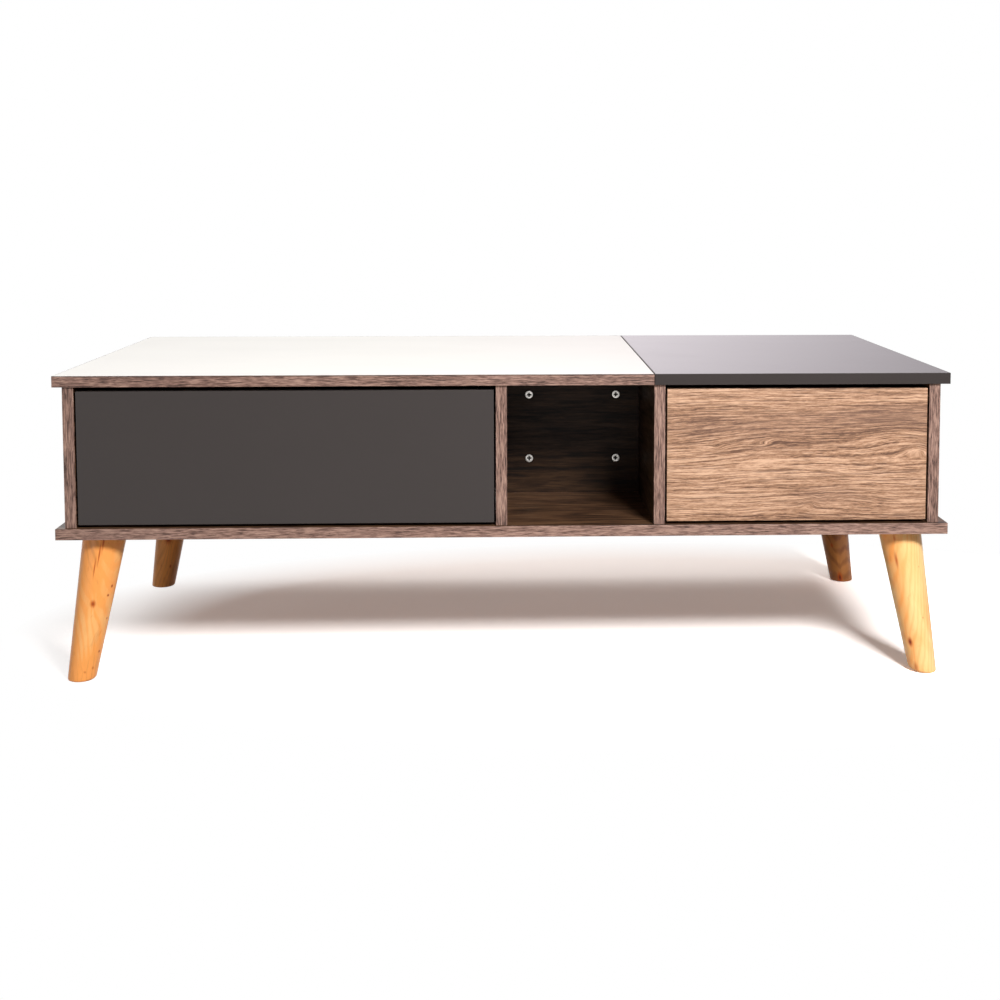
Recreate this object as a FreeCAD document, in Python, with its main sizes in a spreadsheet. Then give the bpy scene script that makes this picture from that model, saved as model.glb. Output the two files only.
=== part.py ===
"""Coffee table: a two-tone top on a low box with two drawers and an open niche, on four splayed round legs.

The frame has +Z up, the floor at z = 0, the front at -Y and the origin on the floor under the middle of the
top. Lengths are in millimetres.
"""
import FreeCAD, Part
import math
import os
from types import SimpleNamespace

import Sketcher
from FreeCAD import Placement, Rotation, Vector

# Driving sizes, each a cell of the sheet
SIZES = {
    # Whole table
    "top_length": 1200,
    "top_depth": 600,
    "table_height": 420,
    "leg_height": 200,
    "board": 15,
    "white_length": 800,
    "seam": 0.6,
    "band": 1,
    "edge_ease": 0.4,
    "side_inset": 12,
    "front_setback": 5,
    "niche_width": 198,
    "niche_depth": 245,
    # Legs
    "leg_inset_x": 54,
    "leg_inset_y": 50,
    "leg_splay_x": 33.5,
    "leg_splay_y": 12,
    "leg_top_radius": 29,
    "leg_foot_radius": 18.5,
    "leg_foot_round": 3,
    "leg_overrun_share": 0.2,
    "leg_bolt_radius": 4,
    "leg_bolt_reach": 18,
    "leg_bolt_play": 0.3,
    "leg_flange_radius": 10,
    "leg_flange": 1.6,
    "leg_head_radius": 6.5,
    "leg_head": 4,
    "leg_socket_radius": 2.9,
    "leg_socket_depth": 3,
    "insert_radius": 6,
    "insert_length": 20,
    # Cam locks, their bolts, dowels and screws
    "cam_radius": 6,
    "cam_height": 10.5,
    "cam_ease": 0.4,
    "cam_inset": 34,
    "cam_slot_length": 5.4,
    "cam_slot_width": 1.6,
    "cam_slot_depth": 2,
    "cam_bolt_radius": 3,
    "cam_bolt_head_radius": 3.4,
    "cam_bolt_neck_radius": 2,
    "cam_bolt_neck": 5,
    "cam_bolt_head": 2.5,
    "cam_bolt_tip_gap": 1,
    "cam_bolt_bite_radius": 2.5,
    "cam_bolt_bite": 11,
    "cam_bolt_bore_radius": 4,
    "dowel_radius": 4,
    "dowel_length": 30,
    "dowel_face_bite": 10,
    "screw_radius": 3.2,
    "screw_length": 48,
    "screw_head_radius": 5,
    "screw_head": 3,
    "upright_fixing_inset": 110,
    "partition_cam_low_share": 0.271,
    "partition_cam_high_share": 0.776,
    "partition_dowel_inset": 60,
    "seam_dowel_inset": 80,
    "back_dowel_inset": 45,
    # Drawers
    "front_gap_top": 6,
    "front_gap_bottom": 4,
    "front_gap_side": 2.5,
    "runner_gap": 12.5,
    "drawer_lift": 19,
    "drawer_length": 450,
    "drawer_head_gap": 41,
    "drawer_bottom": 3,
    "groove_rise": 10,
    "groove_depth": 5,
    "groove_play": 0.1,
    "drawer_cam_low_share": 0.385,
    "drawer_cam_high_share": 0.815,
    "back_screw_share": 0.29,
    # Roller runners
    "rail_sheet": 1.2,
    "rail_length": 440,
    "rail_front_gap": 5,
    "channel_height": 30,
    "channel_width": 10.4,
    "channel_drop": 2,
    "running_gap": 0.3,
    "flange_gap": 0.6,
    "rail_foot_width": 11,
    "front_roller_radius": 11,
    "roller_end_inset": 14,
    "roller_width": 7,
    "roller_rim": 0.8,
    "axle_radius": 2.5,
    "axle_play": 0.1,
    "axle_head_radius": 4,
    "axle_head": 0.8,
    "channel_notch": 28,
    "rail_screw_radius": 1.6,
    "rail_screw_length": 11,
    "rail_screw_head_radius": 3.2,
    "rail_screw_inset": 60,
    "rail_screw_rise": 22,
    # One overrun for every cut
    "overrun": 1,
}

doc = FreeCAD.newDocument("CoffeeTable")
sheet = doc.addObject("Spreadsheet::Sheet", "Sizes")
for row, (alias, number) in enumerate(SIZES.items(), start=1):
    sheet.set(f"A{row}", alias)
    sheet.set(f"B{row}", str(number))
    sheet.setAlias(f"B{row}", alias)
doc.recompute()


class Size:
    """A length that carries its number and the expression over the sheet's cells that gives it."""

    def __init__(self, text, number):
        self.text = text
        self.number = number

    @staticmethod
    def of(thing):
        """The thing as a Size, where a plain number stands for itself."""
        return thing if isinstance(thing, Size) else Size(repr(thing), thing)

    def joined(self, sign, other, number):
        """A sum, product or quotient of two sizes."""
        return Size(f"({self.text} {sign} {other.text})", number)

    def __add__(self, other):
        other = Size.of(other)
        return self.joined("+", other, self.number + other.number)

    def __sub__(self, other):
        other = Size.of(other)
        return self.joined("-", other, self.number - other.number)

    def __mul__(self, other):
        other = Size.of(other)
        return self.joined("*", other, self.number * other.number)

    def __truediv__(self, other):
        other = Size.of(other)
        return self.joined("/", other, self.number / other.number)

    def __neg__(self):
        return Size(f"(-{self.text})", -self.number)

    __radd__ = __add__
    __rmul__ = __mul__


s = SimpleNamespace(**{alias: Size(f"Sizes.{alias}", float(sheet.get(alias))) for alias in SIZES})
ZERO = Size.of(0)
parts = {}

# Directions of the bores and rods, each as the turn of +Z onto it and its unit steps
WAYS = {
    "+x": (Rotation(Vector(0, 1, 0), 90), (1, 0, 0)),
    "-x": (Rotation(Vector(0, 1, 0), -90), (-1, 0, 0)),
    "+y": (Rotation(Vector(1, 0, 0), -90), (0, 1, 0)),
    "-y": (Rotation(Vector(1, 0, 0), 90), (0, -1, 0)),
    "+z": (Rotation(), (0, 0, 1)),
    "-z": (Rotation(Vector(1, 0, 0), 180), (0, 0, -1)),
}


def bind(thing, **sizes):
    """Tie each named property to its expression."""
    for name, size in sizes.items():
        thing.setExpression(name, Size.of(size).text)


def place(thing, spot, turn=Rotation()):
    """Stand the thing at a spot whose coordinates follow the sheet."""
    thing.Placement = Placement(Vector(*(Size.of(size).number for size in spot)), turn)
    for axis, size in zip("xyz", spot):
        thing.setExpression(f"Placement.Base.{axis}", Size.of(size).text)


def moved(spot, way, step):
    """The spot that lies one step along a way."""
    return tuple(Size.of(size) + step * unit if unit else size for size, unit in zip(spot, WAYS[way][1]))


def box(label, x, y, z):
    """A block between two coordinates on each axis."""
    block = doc.addObject("Part::Box", label)
    bind(block, Length=x[1] - x[0], Width=y[1] - y[0], Height=z[1] - z[0])
    place(block, (x[0], y[0], z[0]))
    return block


def rod(label, spot, way, radius, length):
    """A round rod that starts at a spot and runs along a way."""
    cylinder = doc.addObject("Part::Cylinder", label)
    bind(cylinder, Radius=radius, Height=length)
    place(cylinder, spot, WAYS[way][0])
    return cylinder


def bore(label, spot, way, radius, depth):
    """A cutting rod that enters a face at a spot, with the overrun standing outside."""
    return rod(label, moved(spot, way, -s.overrun), way, radius, depth + s.overrun)


def cut(label, base, tools):
    """The base less every tool."""
    fused = tools[0]
    if len(tools) > 1:
        fused = doc.addObject("Part::MultiFuse", f"{label}_tools")
        fused.Shapes = tools
    piece = doc.addObject("Part::Cut", label)
    piece.Base = base
    piece.Tool = fused
    return piece


def sub_part(label, thing):
    """Name a finished piece, which is then a file of its own."""
    thing.Label = label
    parts[label] = thing
    return thing


def board(label, x, y, z, tools=()):
    """A flat board with its drillings."""
    if not tools:
        return sub_part(label, box(f"{label}_board", x, y, z))
    return sub_part(label, cut(f"{label}_drilled", box(f"{label}_board", x, y, z), list(tools)))


def eased(label, blank, size, chosen):
    """The blank with its chosen edges cut at 45 degrees."""
    blank.recompute()
    chamfer = doc.addObject("Part::Chamfer", label)
    chamfer.Base = blank
    edges = [index for index, edge in enumerate(blank.Shape.Edges, start=1) if chosen(edge.BoundBox)]
    chamfer.Edges = [(index, size.number, size.number) for index in edges]
    return chamfer


def in_face(way, level):
    """A test for edges that lie in the face that looks along a way at a level."""
    axis = way[1].upper()

    def lies(bounds):
        low = getattr(bounds, f"{axis}Min") - level.number
        high = getattr(bounds, f"{axis}Max") - level.number
        return max(abs(low), abs(high)) < s.edge_ease.number / 2

    return lies


def strip(label, x, y, z, way):
    """An edge band whose outer face, which looks along way, has eased edges."""
    span = x if way[1] == "x" else y
    level = span[0] if way[0] == "-" else span[1]
    return eased(f"{label}_eased", box(f"{label}_blank", x, y, z), s.edge_ease, in_face(way, Size.of(level)))


def strips(label, blocks):
    """Several separate edge bands as one group."""
    group = doc.addObject("Part::Compound", f"{label}_set")
    group.Links = [strip(f"{label}_strip", *block) for block in blocks]
    return group


def plane_of(body, role):
    """One of a body's own origin planes."""
    return next(feature for feature in body.Origin.OriginFeatures if feature.Role == role)


def outline(body, role, corners):
    """A closed sketch of straight lines whose corners are held by the sheet."""
    sketch = body.newObject("Sketcher::SketchObject", f"{body.Name}_outline")
    sketch.AttachmentSupport = [(plane_of(body, role), "")]
    sketch.MapMode = "FlatFace"
    spots = [tuple(Size.of(size) for size in corner) for corner in corners]
    vectors = [Vector(across.number, up.number, 0) for across, up in spots]
    for index, start in enumerate(vectors):
        sketch.addGeometry(Part.LineSegment(start, vectors[(index + 1) % len(vectors)]), False)
    for index in range(len(vectors)):
        sketch.addConstraint(Sketcher.Constraint("Coincident", index, 2, (index + 1) % len(vectors), 1))
    for index, (across, up) in enumerate(spots):
        for kind, size in (("DistanceX", across), ("DistanceY", up)):
            row = sketch.addConstraint(Sketcher.Constraint(kind, -1, 1, index, 1, size.number))
            sketch.setExpression(f"Constraints[{row}]", size.text)
    return sketch


def turned(label, profile):
    """A turned piece about its own Z axis, from (radius, height) corners."""
    body = doc.addObject("PartDesign::Body", label)
    sketch = outline(body, "XZ_Plane", profile)
    solid = body.newObject("PartDesign::Revolution", f"{label}_turn")
    solid.Profile = sketch
    solid.ReferenceAxis = (sketch, ["V_Axis"])
    solid.Angle = 360
    sketch.Visibility = False
    return body


def profiled(label, profile, rear, length):
    """A bar of one section, drawn in x and z, that runs forward from its rear end."""
    body = doc.addObject("PartDesign::Body", label)
    sketch = outline(body, "XZ_Plane", profile)
    solid = body.newObject("PartDesign::Pad", f"{label}_run")
    solid.Profile = sketch
    bind(solid, Length=length)
    place(body, (ZERO, rear, ZERO))
    sketch.Visibility = False
    return body


def copies(label, master, seats):
    """One node with a copy of the master on every seat."""
    shapes = []
    for seat in seats:
        shape = master.Shape.copy()
        shape.Placement = seat.multiply(master.Shape.Placement)
        shapes.append(shape)
    group = doc.addObject("Part::Feature", f"{label}_set")
    group.Shape = Part.makeCompound(shapes)
    group.Placement = Placement()
    return sub_part(label, group)


def seat(spot, way, spin=0):
    """A placement with +Z along the way and the origin at the spot."""
    turn = WAYS[way][0].multiply(Rotation(Vector(0, 0, 1), spin))
    return Placement(Vector(*(Size.of(size).number for size in spot)), turn)


# Planes that the boards share
half_length = s.top_length / 2
half_depth = s.top_depth / 2
floor_z = s.leg_height + s.board
ceiling_z = s.table_height - s.board
seam_x = s.white_length - half_length
edge_front = -half_depth + s.front_setback
edge_rear = half_depth - s.front_setback
side_outer = half_length - s.side_inset
side_inner = side_outer - s.board
divider_right_x = (seam_x, seam_x + s.board)
divider_left_x = (seam_x - s.niche_width - s.board, seam_x - s.niche_width)
bay_left_x = (-side_inner, divider_left_x[0])
bay_right_x = (divider_right_x[1], side_inner)
niche_x = (divider_left_x[1], divider_right_x[0])
partition_y = (s.niche_depth - half_depth, s.niche_depth - half_depth + s.board)
back_y = (edge_rear - s.board, edge_rear)
upright_z = (floor_z, ceiling_z)
middle_board = s.board / 2
dowel_shift = s.dowel_length / 2 - s.dowel_face_bite

# Drillings, each list named after the board that it is cut from
drillings = {}


def drill(name, *tools):
    """Keep cutting tools for a board."""
    drillings.setdefault(name, []).extend(tools)


cam_seats = []
cam_bolt_seats = []
dowel_seats = []
screw_seats = []


def cam_joint(holder, mate, spot, way, face, opening, cams=cam_seats, bolts=cam_bolt_seats):
    """A cam lock in the holder and a bolt from the mate.

    The bolt leaves the mate's face at the spot and runs along way. The cam's bore opens in the holder's face,
    which looks along opening and lies at face.
    """
    centre = moved(spot, way, s.cam_inset)
    axis = "xyz".index(opening[1])
    mouth = tuple(face if index == axis else size for index, size in enumerate(centre))
    inward = ("-" if opening[0] == "+" else "+") + opening[1]
    back = ("-" if way[0] == "+" else "+") + way[1]
    drill(holder, bore("cam_bore", mouth, inward, s.cam_radius, s.cam_height))
    drill(holder, bore("cam_bolt_bore", spot, way, s.cam_bolt_bore_radius, s.cam_inset))
    drill(mate, bore("cam_bolt_pilot", spot, back, s.cam_bolt_bite_radius, s.cam_bolt_bite))
    cams.append((mouth, opening, way))
    bolts.append(seat(spot, way))


def dowel_joint(boards, spot, way):
    """A dowel half in each of two boards, which meet at the spot."""
    start = moved(spot, way, -s.dowel_length / 2)
    for name in boards:
        drill(name, rod("dowel_hole", start, way, s.dowel_radius, s.dowel_length))
    dowel_seats.append(seat(start, way))


def screw_joint(outer, inner, spot, way, seats=screw_seats):
    """A screw that enters the outer board's face at the spot and runs on into the inner board."""
    for name in (outer, inner):
        drill(name, bore("screw_hole", spot, way, s.screw_radius, s.screw_length))
    drill(outer, bore("screw_head_hole", spot, way, s.screw_head_radius, s.screw_head))
    seats.append(seat(spot, way))


# Upright boards to the tops above them and to the bottom board below them
uprights = {
    "side_panel_left": ((-side_outer, -side_inner), "+x", "top_panel_white"),
    "divider_left": (divider_left_x, "-x", "top_panel_white"),
    "divider_right": (divider_right_x, "+x", "top_panel_grey"),
    "side_panel_right": ((side_inner, side_outer), "-x", "top_panel_grey"),
}
for name, (span, opening, top) in uprights.items():
    middle = (span[0] + span[1]) / 2
    face = span[1] if opening == "+x" else span[0]
    for y in (edge_front + s.upright_fixing_inset, edge_rear - s.upright_fixing_inset):
        cam_joint(name, top, (middle, y, ceiling_z), "-z", face, opening)
        screw_joint("bottom_panel", name, (middle, y, s.leg_height), "+z")

# Partition of the niche, with its four cams towards the front
partition_middle = (partition_y[0] + partition_y[1]) / 2
for share in (s.partition_cam_low_share, s.partition_cam_high_share):
    z = floor_z + (ceiling_z - floor_z) * share
    for mate, x, way in (("divider_left", niche_x[0], "+x"), ("divider_right", niche_x[1], "-x")):
        cam_joint("niche_partition", mate, (x, partition_middle, z), way, partition_y[0], "-y")
for x in (niche_x[0] + s.partition_dowel_inset, niche_x[1] - s.partition_dowel_inset):
    dowel_joint(("niche_partition", "top_panel_white"), (x, partition_middle, ceiling_z - dowel_shift), "+z")

# Seam of the two tops
seam_pieces = ("top_panel_white", "top_panel_white_edge_bands", "top_panel_grey", "top_panel_grey_edge_bands")
for y in (s.seam_dowel_inset - half_depth, half_depth - s.seam_dowel_inset):
    dowel_joint(seam_pieces, (seam_x, y, ceiling_z + middle_board), "+x")

# Rear panels between the uprights
back_middle = (back_y[0] + back_y[1]) / 2
back_ends = {
    "back_panel_left": ((bay_left_x[0], "side_panel_left"), (bay_left_x[1], "divider_left")),
    "back_panel_right": ((bay_right_x[0], "divider_right"), (bay_right_x[1], "side_panel_right")),
}
for name, ends in back_ends.items():
    for index, (x, mate) in enumerate(ends):
        inward = 1 if index == 0 else -1
        for z in (floor_z + s.back_dowel_inset, ceiling_z - s.back_dowel_inset):
            dowel_joint((name, mate), (x + dowel_shift * inward, back_middle, z), "+x")

# Legs: a turned cone on a splayed axis, cut level at the board and at the floor
leg_corners = {"front_left": (-1, -1), "front_right": (1, -1), "back_left": (-1, 1), "back_right": (1, 1)}
leg_bolt_seats = []
insert_seats = []
extra = s.leg_overrun_share
taper = s.leg_top_radius - s.leg_foot_radius
lean = f"hypot({s.leg_splay_x.text}; {s.leg_splay_y.text})"
slant = f"hypot({lean}; {s.leg_height.text})"
for name, (side, end) in leg_corners.items():
    head_x = side * (half_length - s.leg_inset_x)
    head_y = end * (half_depth - s.leg_inset_y)
    lean_x = side * s.leg_splay_x
    lean_y = end * s.leg_splay_y
    # The cone runs past both level cuts by a share of its length, at its own taper
    cone = doc.addObject("Part::Cone", f"leg_{name}_cone")
    bind(cone, Radius1=s.leg_foot_radius - taper * extra, Radius2=s.leg_top_radius + taper * extra)
    cone.setExpression("Height", f"{slant} * {(extra * 2 + 1).text}")
    start = (head_x + lean_x * (extra + 1), head_y + lean_y * (extra + 1), -s.leg_height * extra)
    angle = math.degrees(math.atan2(math.hypot(lean_x.number, lean_y.number), s.leg_height.number))
    place(cone, start, Rotation(Vector(lean_y.number, -lean_x.number, 0), angle))
    cone.setExpression("Placement.Rotation.Angle", f"atan({lean} / {s.leg_height.text})")
    reach = s.leg_top_radius * 2
    slab = box(
        f"leg_{name}_slab",
        (head_x - reach, head_x + reach),
        (head_y - reach, head_y + reach),
        (ZERO, s.leg_height),
    )
    blank = doc.addObject("Part::Common", f"leg_{name}_blank")
    blank.Base = cone
    blank.Tool = slab
    doc.recompute()
    foot_edges = [
        index
        for index, edge in enumerate(blank.Shape.Edges, start=1)
        if edge.BoundBox.ZMax < s.leg_foot_round.number
    ]
    rounded = doc.addObject("Part::Fillet", f"leg_{name}_rounded")
    rounded.Base = blank
    rounded.Edges = [(index, s.leg_foot_round.number, s.leg_foot_round.number) for index in foot_edges]
    joint = (head_x, head_y, s.leg_height)
    socket = bore("insert_hole", joint, "-z", s.insert_radius, s.insert_length)
    sub_part(f"leg_{name}", cut(f"leg_{name}_drilled", rounded, [socket]))
    bolt_hole = s.leg_bolt_radius + s.leg_bolt_play
    drill("bottom_panel", bore("leg_bolt_hole", joint, "+z", bolt_hole, s.board + s.overrun))
    leg_bolt_seats.append(seat((head_x, head_y, floor_z), "+z"))
    insert_seats.append(seat(joint, "-z"))


def banded(x, y, z, ends=True):
    """A board's core and the strips on its front, rear and, where asked, ends, from its outer spans."""
    core_y = (y[0] + s.band, y[1] - s.band)
    rims = [(x, (y[0], core_y[0]), z, "-y"), (x, (core_y[1], y[1]), z, "+y")]
    if not ends:
        return x, core_y, rims
    core_x = (x[0] + s.band, x[1] - s.band)
    rims += [((x[0], core_x[0]), core_y, z, "-x"), ((core_x[1], x[1]), core_y, z, "+x")]
    return core_x, core_y, rims


# The two tops, the bottom board and their edge bands
full_y = (-half_depth, half_depth)
top_z = (ceiling_z, s.table_height)
bottom_z = (s.leg_height, floor_z)
white_x = (-half_length, seam_x - s.seam / 2)
grey_x = (seam_x + s.seam / 2, half_length)
carcass_strips = []
for name, span in (("top_panel_white", white_x), ("top_panel_grey", grey_x)):
    core_x, core_y, rims = banded(span, full_y, top_z)
    board(name, core_x, core_y, top_z, drillings[name])
    bands = f"{name}_edge_bands"
    sub_part(bands, cut(f"{bands}_drilled", strips(bands, rims), drillings[bands]))
core_x, core_y, rims = banded((-half_length, half_length), full_y, bottom_z)
board("bottom_panel", core_x, core_y, bottom_z, drillings["bottom_panel"])
carcass_strips += rims


# Drawers and their runners
class Bay:
    """The openings' own planes and the pieces that the drawer of one bay needs."""

    def __init__(self, name, span, walls):
        self.name = name
        self.span = span
        self.walls = walls
        self.front_x = (span[0] + s.front_gap_side, span[1] - s.front_gap_side)
        self.box_x = (span[0] + s.runner_gap, span[1] - s.runner_gap)
        self.inner_x = (self.box_x[0] + s.board, self.box_x[1] - s.board)
        self.cams = []
        self.bolts = []
        self.screws = []
        self.rail_screws = []


front_y = (edge_front, edge_front + s.board)
front_z = (floor_z + s.front_gap_bottom, ceiling_z - s.front_gap_top)
box_y = (front_y[1], front_y[1] + s.drawer_length)
box_z = (floor_z + s.drawer_lift, ceiling_z - s.drawer_head_gap)
box_height = box_z[1] - box_z[0]
drawer_back_y = (box_y[1] - s.board, box_y[1])
sheet_z = (box_z[0] + s.groove_rise, box_z[0] + s.groove_rise + s.drawer_bottom)
groove_z = (sheet_z[0] - s.groove_play, sheet_z[1] + s.groove_play)
rail_y = (front_y[1] + s.rail_front_gap, front_y[1] + s.rail_front_gap + s.rail_length)
channel_z = (box_z[0] - s.channel_drop, box_z[0] - s.channel_drop + s.channel_height)
ride_z = channel_z[1] + s.flange_gap
rear_roller_radius = s.channel_height / 2 - s.rail_sheet - s.running_gap
front_roller_y = rail_y[0] + s.roller_end_inset
rear_roller_y = rail_y[1] - s.roller_end_inset - s.rail_front_gap
front_roller_z = ride_z - s.running_gap - s.front_roller_radius
rear_roller_z = channel_z[0] + s.channel_height / 2
heads_at = (rail_y[0] + s.rail_screw_inset, rail_y[1] - s.rail_screw_inset)
screw_z = channel_z[0] + s.rail_screw_rise
bay_rail_screws = []


def wheel(label, radius, spot, way):
    """A runner roller with eased rims, on its own axis."""
    bore_radius = s.axle_radius + s.axle_play
    body = turned(
        label,
        [
            (bore_radius, ZERO),
            (radius - s.roller_rim, ZERO),
            (radius, s.roller_rim),
            (radius, s.roller_width - s.roller_rim),
            (radius - s.roller_rim, s.roller_width),
            (bore_radius, s.roller_width),
        ],
    )
    place(body, spot, WAYS[way][0])
    return sub_part(label, body)


def axle(label, spot, way, length):
    """A rivet that leaves a rail's sheet at the spot, with a head past the roller."""
    stem = rod(f"{label}_stem", spot, way, s.axle_radius, length)
    head = rod(f"{label}_head", moved(spot, way, length), way, s.axle_head_radius, s.axle_head)
    return [stem, head]


def flush_hole(mouth, way):
    """The cone that lets a rail screw's head sit flush in the sheet."""
    cone = doc.addObject("Part::Cone", "rail_screw_hole")
    bind(cone, Radius1=s.rail_screw_head_radius, Radius2=s.rail_screw_radius, Height=s.rail_sheet)
    place(cone, mouth, WAYS[way][0])
    return cone


def runner(bay, side):
    """The cabinet channel, the drawer rail and their rollers on one side of a bay."""
    wall = bay.span[0] if side == "left" else bay.span[1]
    out = 1 if side == "left" else -1
    wall_board = bay.walls[side]
    side_board = f"{bay.name}_drawer_side_{side}"
    away = "+x" if side == "left" else "-x"
    toward = "-x" if side == "left" else "+x"

    def across(step):
        return wall + step * out

    channel = profiled(
        f"{bay.name}_channel_{side}",
        [
            (across(ZERO), channel_z[0]),
            (across(s.channel_width), channel_z[0]),
            (across(s.channel_width), channel_z[0] + s.rail_sheet),
            (across(s.rail_sheet), channel_z[0] + s.rail_sheet),
            (across(s.rail_sheet), channel_z[1] - s.rail_sheet),
            (across(s.channel_width), channel_z[1] - s.rail_sheet),
            (across(s.channel_width), channel_z[1]),
            (across(ZERO), channel_z[1]),
        ],
        rail_y[1],
        s.rail_length,
    )
    spans = sorted((across(s.rail_sheet), across(s.channel_width + s.overrun)), key=lambda size: size.number)
    notch = box(
        f"{bay.name}_notch_{side}",
        spans,
        (rail_y[0] - s.overrun, rail_y[0] + s.channel_notch),
        (channel_z[1] - s.rail_sheet - s.overrun, channel_z[1] + s.overrun),
    )
    stop_spans = sorted((across(ZERO), across(s.channel_width)), key=lambda size: size.number)
    stop = box(
        f"{bay.name}_stop_{side}",
        stop_spans,
        (rail_y[1] - s.rail_sheet, rail_y[1]),
        channel_z,
    )
    roller_gap = (s.channel_width - s.rail_sheet - s.roller_width - s.axle_head) / 2
    spot = (across(s.rail_sheet), front_roller_y, front_roller_z)
    pin = axle(f"{bay.name}_front_axle_{side}", spot, away, s.channel_width - s.rail_sheet - s.axle_head)
    cut_channel = cut(f"{bay.name}_channel_{side}_notched", channel, [notch])
    holes = []
    for y in heads_at:
        mouth = (across(s.rail_sheet), y, screw_z)
        holes.append(flush_hole(mouth, toward))
        drill(wall_board, rod("rail_screw_pilot", mouth, toward, s.rail_screw_radius, s.rail_screw_length))
        bay_rail_screws.append(seat(mouth, toward))
    fused = doc.addObject("Part::MultiFuse", f"{bay.name}_channel_{side}_built")
    fused.Shapes = [cut_channel, stop] + pin
    sub_part(f"{bay.name}_bay_rail_{side}", cut(f"{bay.name}_channel_{side}_drilled", fused, holes))
    start = moved(spot, away, roller_gap)
    wheel(f"{bay.name}_bay_roller_{side}", s.front_roller_radius, start, away)

    web = s.runner_gap - s.rail_sheet
    reach = s.rail_sheet + s.running_gap
    rail = profiled(
        f"{bay.name}_rail_{side}",
        [
            (across(s.runner_gap), ride_z + s.rail_sheet),
            (across(reach), ride_z + s.rail_sheet),
            (across(reach), ride_z),
            (across(web), ride_z),
            (across(web), box_z[0] - s.rail_sheet),
            (across(s.runner_gap + s.rail_foot_width), box_z[0] - s.rail_sheet),
            (across(s.runner_gap + s.rail_foot_width), box_z[0]),
            (across(s.runner_gap), box_z[0]),
        ],
        rail_y[1],
        s.rail_length,
    )
    spot = (across(web), rear_roller_y, rear_roller_z)
    pin = axle(f"{bay.name}_rear_axle_{side}", spot, toward, web - s.rail_sheet - s.running_gap - s.axle_head)
    holes = []
    for y in heads_at:
        mouth = (across(web), y, screw_z)
        holes.append(flush_hole(mouth, away))
        drill(side_board, rod("rail_screw_pilot", mouth, away, s.rail_screw_radius, s.rail_screw_length))
        bay.rail_screws.append(seat(mouth, away))
    fused = doc.addObject("Part::MultiFuse", f"{bay.name}_rail_{side}_built")
    fused.Shapes = [rail] + pin
    sub_part(f"{bay.name}_drawer_rail_{side}", cut(f"{bay.name}_rail_{side}_drilled", fused, holes))
    rear_gap = (web - s.rail_sheet - s.running_gap - s.axle_head - s.roller_width) / 2
    start = moved(spot, toward, rear_gap)
    wheel(f"{bay.name}_drawer_roller_{side}", rear_roller_radius, start, toward)


def drawer(bay):
    """The front, sides, back and bottom of one drawer, with its fixings and runners."""
    name = f"{bay.name}_drawer"
    for side in ("left", "right"):
        runner(bay, side)
    for index, (side, inward, unit) in enumerate((("left", "+x", 1), ("right", "-x", -1))):
        holder = f"{name}_side_{side}"
        middle = bay.box_x[index] + middle_board * unit
        face = bay.inner_x[index]
        for share in (s.drawer_cam_low_share, s.drawer_cam_high_share):
            spot = (middle, box_y[0], box_z[0] + box_height * share)
            cam_joint(holder, f"{name}_front", spot, "+y", face, inward, bay.cams, bay.bolts)
        for z in (box_z[0] + box_height * s.back_screw_share, box_z[1] - box_height * s.back_screw_share):
            spot = (bay.box_x[index], (drawer_back_y[0] + drawer_back_y[1]) / 2, z)
            screw_joint(holder, f"{name}_back", spot, inward, bay.screws)
    groove_x = (bay.inner_x[0] - s.groove_depth, bay.inner_x[1] + s.groove_depth)
    groove_y = (box_y[0] - s.groove_depth, drawer_back_y[0] + s.groove_depth)
    groove = box(f"{name}_groove", groove_x, groove_y, groove_z)
    for piece in ("front", "side_left", "side_right", "back"):
        drill(f"{name}_{piece}", groove)
    blank = box(f"{name}_front_blank", bay.front_x, front_y, front_z)
    panel = eased(f"{name}_front_eased", blank, s.edge_ease, in_face("-y", front_y[0]))
    sub_part(f"{name}_front", cut(f"{name}_front_drilled", panel, drillings[f"{name}_front"]))
    board(f"{name}_side_left", (bay.box_x[0], bay.inner_x[0]), box_y, box_z, drillings[f"{name}_side_left"])
    board(f"{name}_side_right", (bay.inner_x[1], bay.box_x[1]), box_y, box_z, drillings[f"{name}_side_right"])
    board(f"{name}_back", bay.inner_x, drawer_back_y, box_z, drillings[f"{name}_back"])
    play = s.groove_play
    board(
        f"{name}_bottom",
        (groove_x[0] + play, groove_x[1] - play),
        (groove_y[0] + play, groove_y[1] - play),
        sheet_z,
    )


bays = [
    Bay("left", bay_left_x, {"left": "side_panel_left", "right": "divider_left"}),
    Bay("right", bay_right_x, {"left": "divider_right", "right": "side_panel_right"}),
]
for bay in bays:
    drawer(bay)

# Upright boards, the partition and the rear panels
for name, (span, opening, top) in uprights.items():
    core_x, core_y, rims = banded(span, (edge_front, edge_rear), upright_z, ends=False)
    board(name, core_x, core_y, upright_z, drillings[name])
    carcass_strips += rims
sub_part("carcass_edge_bands", strips("carcass_edge_bands", carcass_strips))
board("niche_partition", niche_x, partition_y, upright_z, drillings["niche_partition"])
board("back_panel_left", bay_left_x, back_y, upright_z, drillings["back_panel_left"])
board("back_panel_right", bay_right_x, back_y, upright_z, drillings["back_panel_right"])

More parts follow.
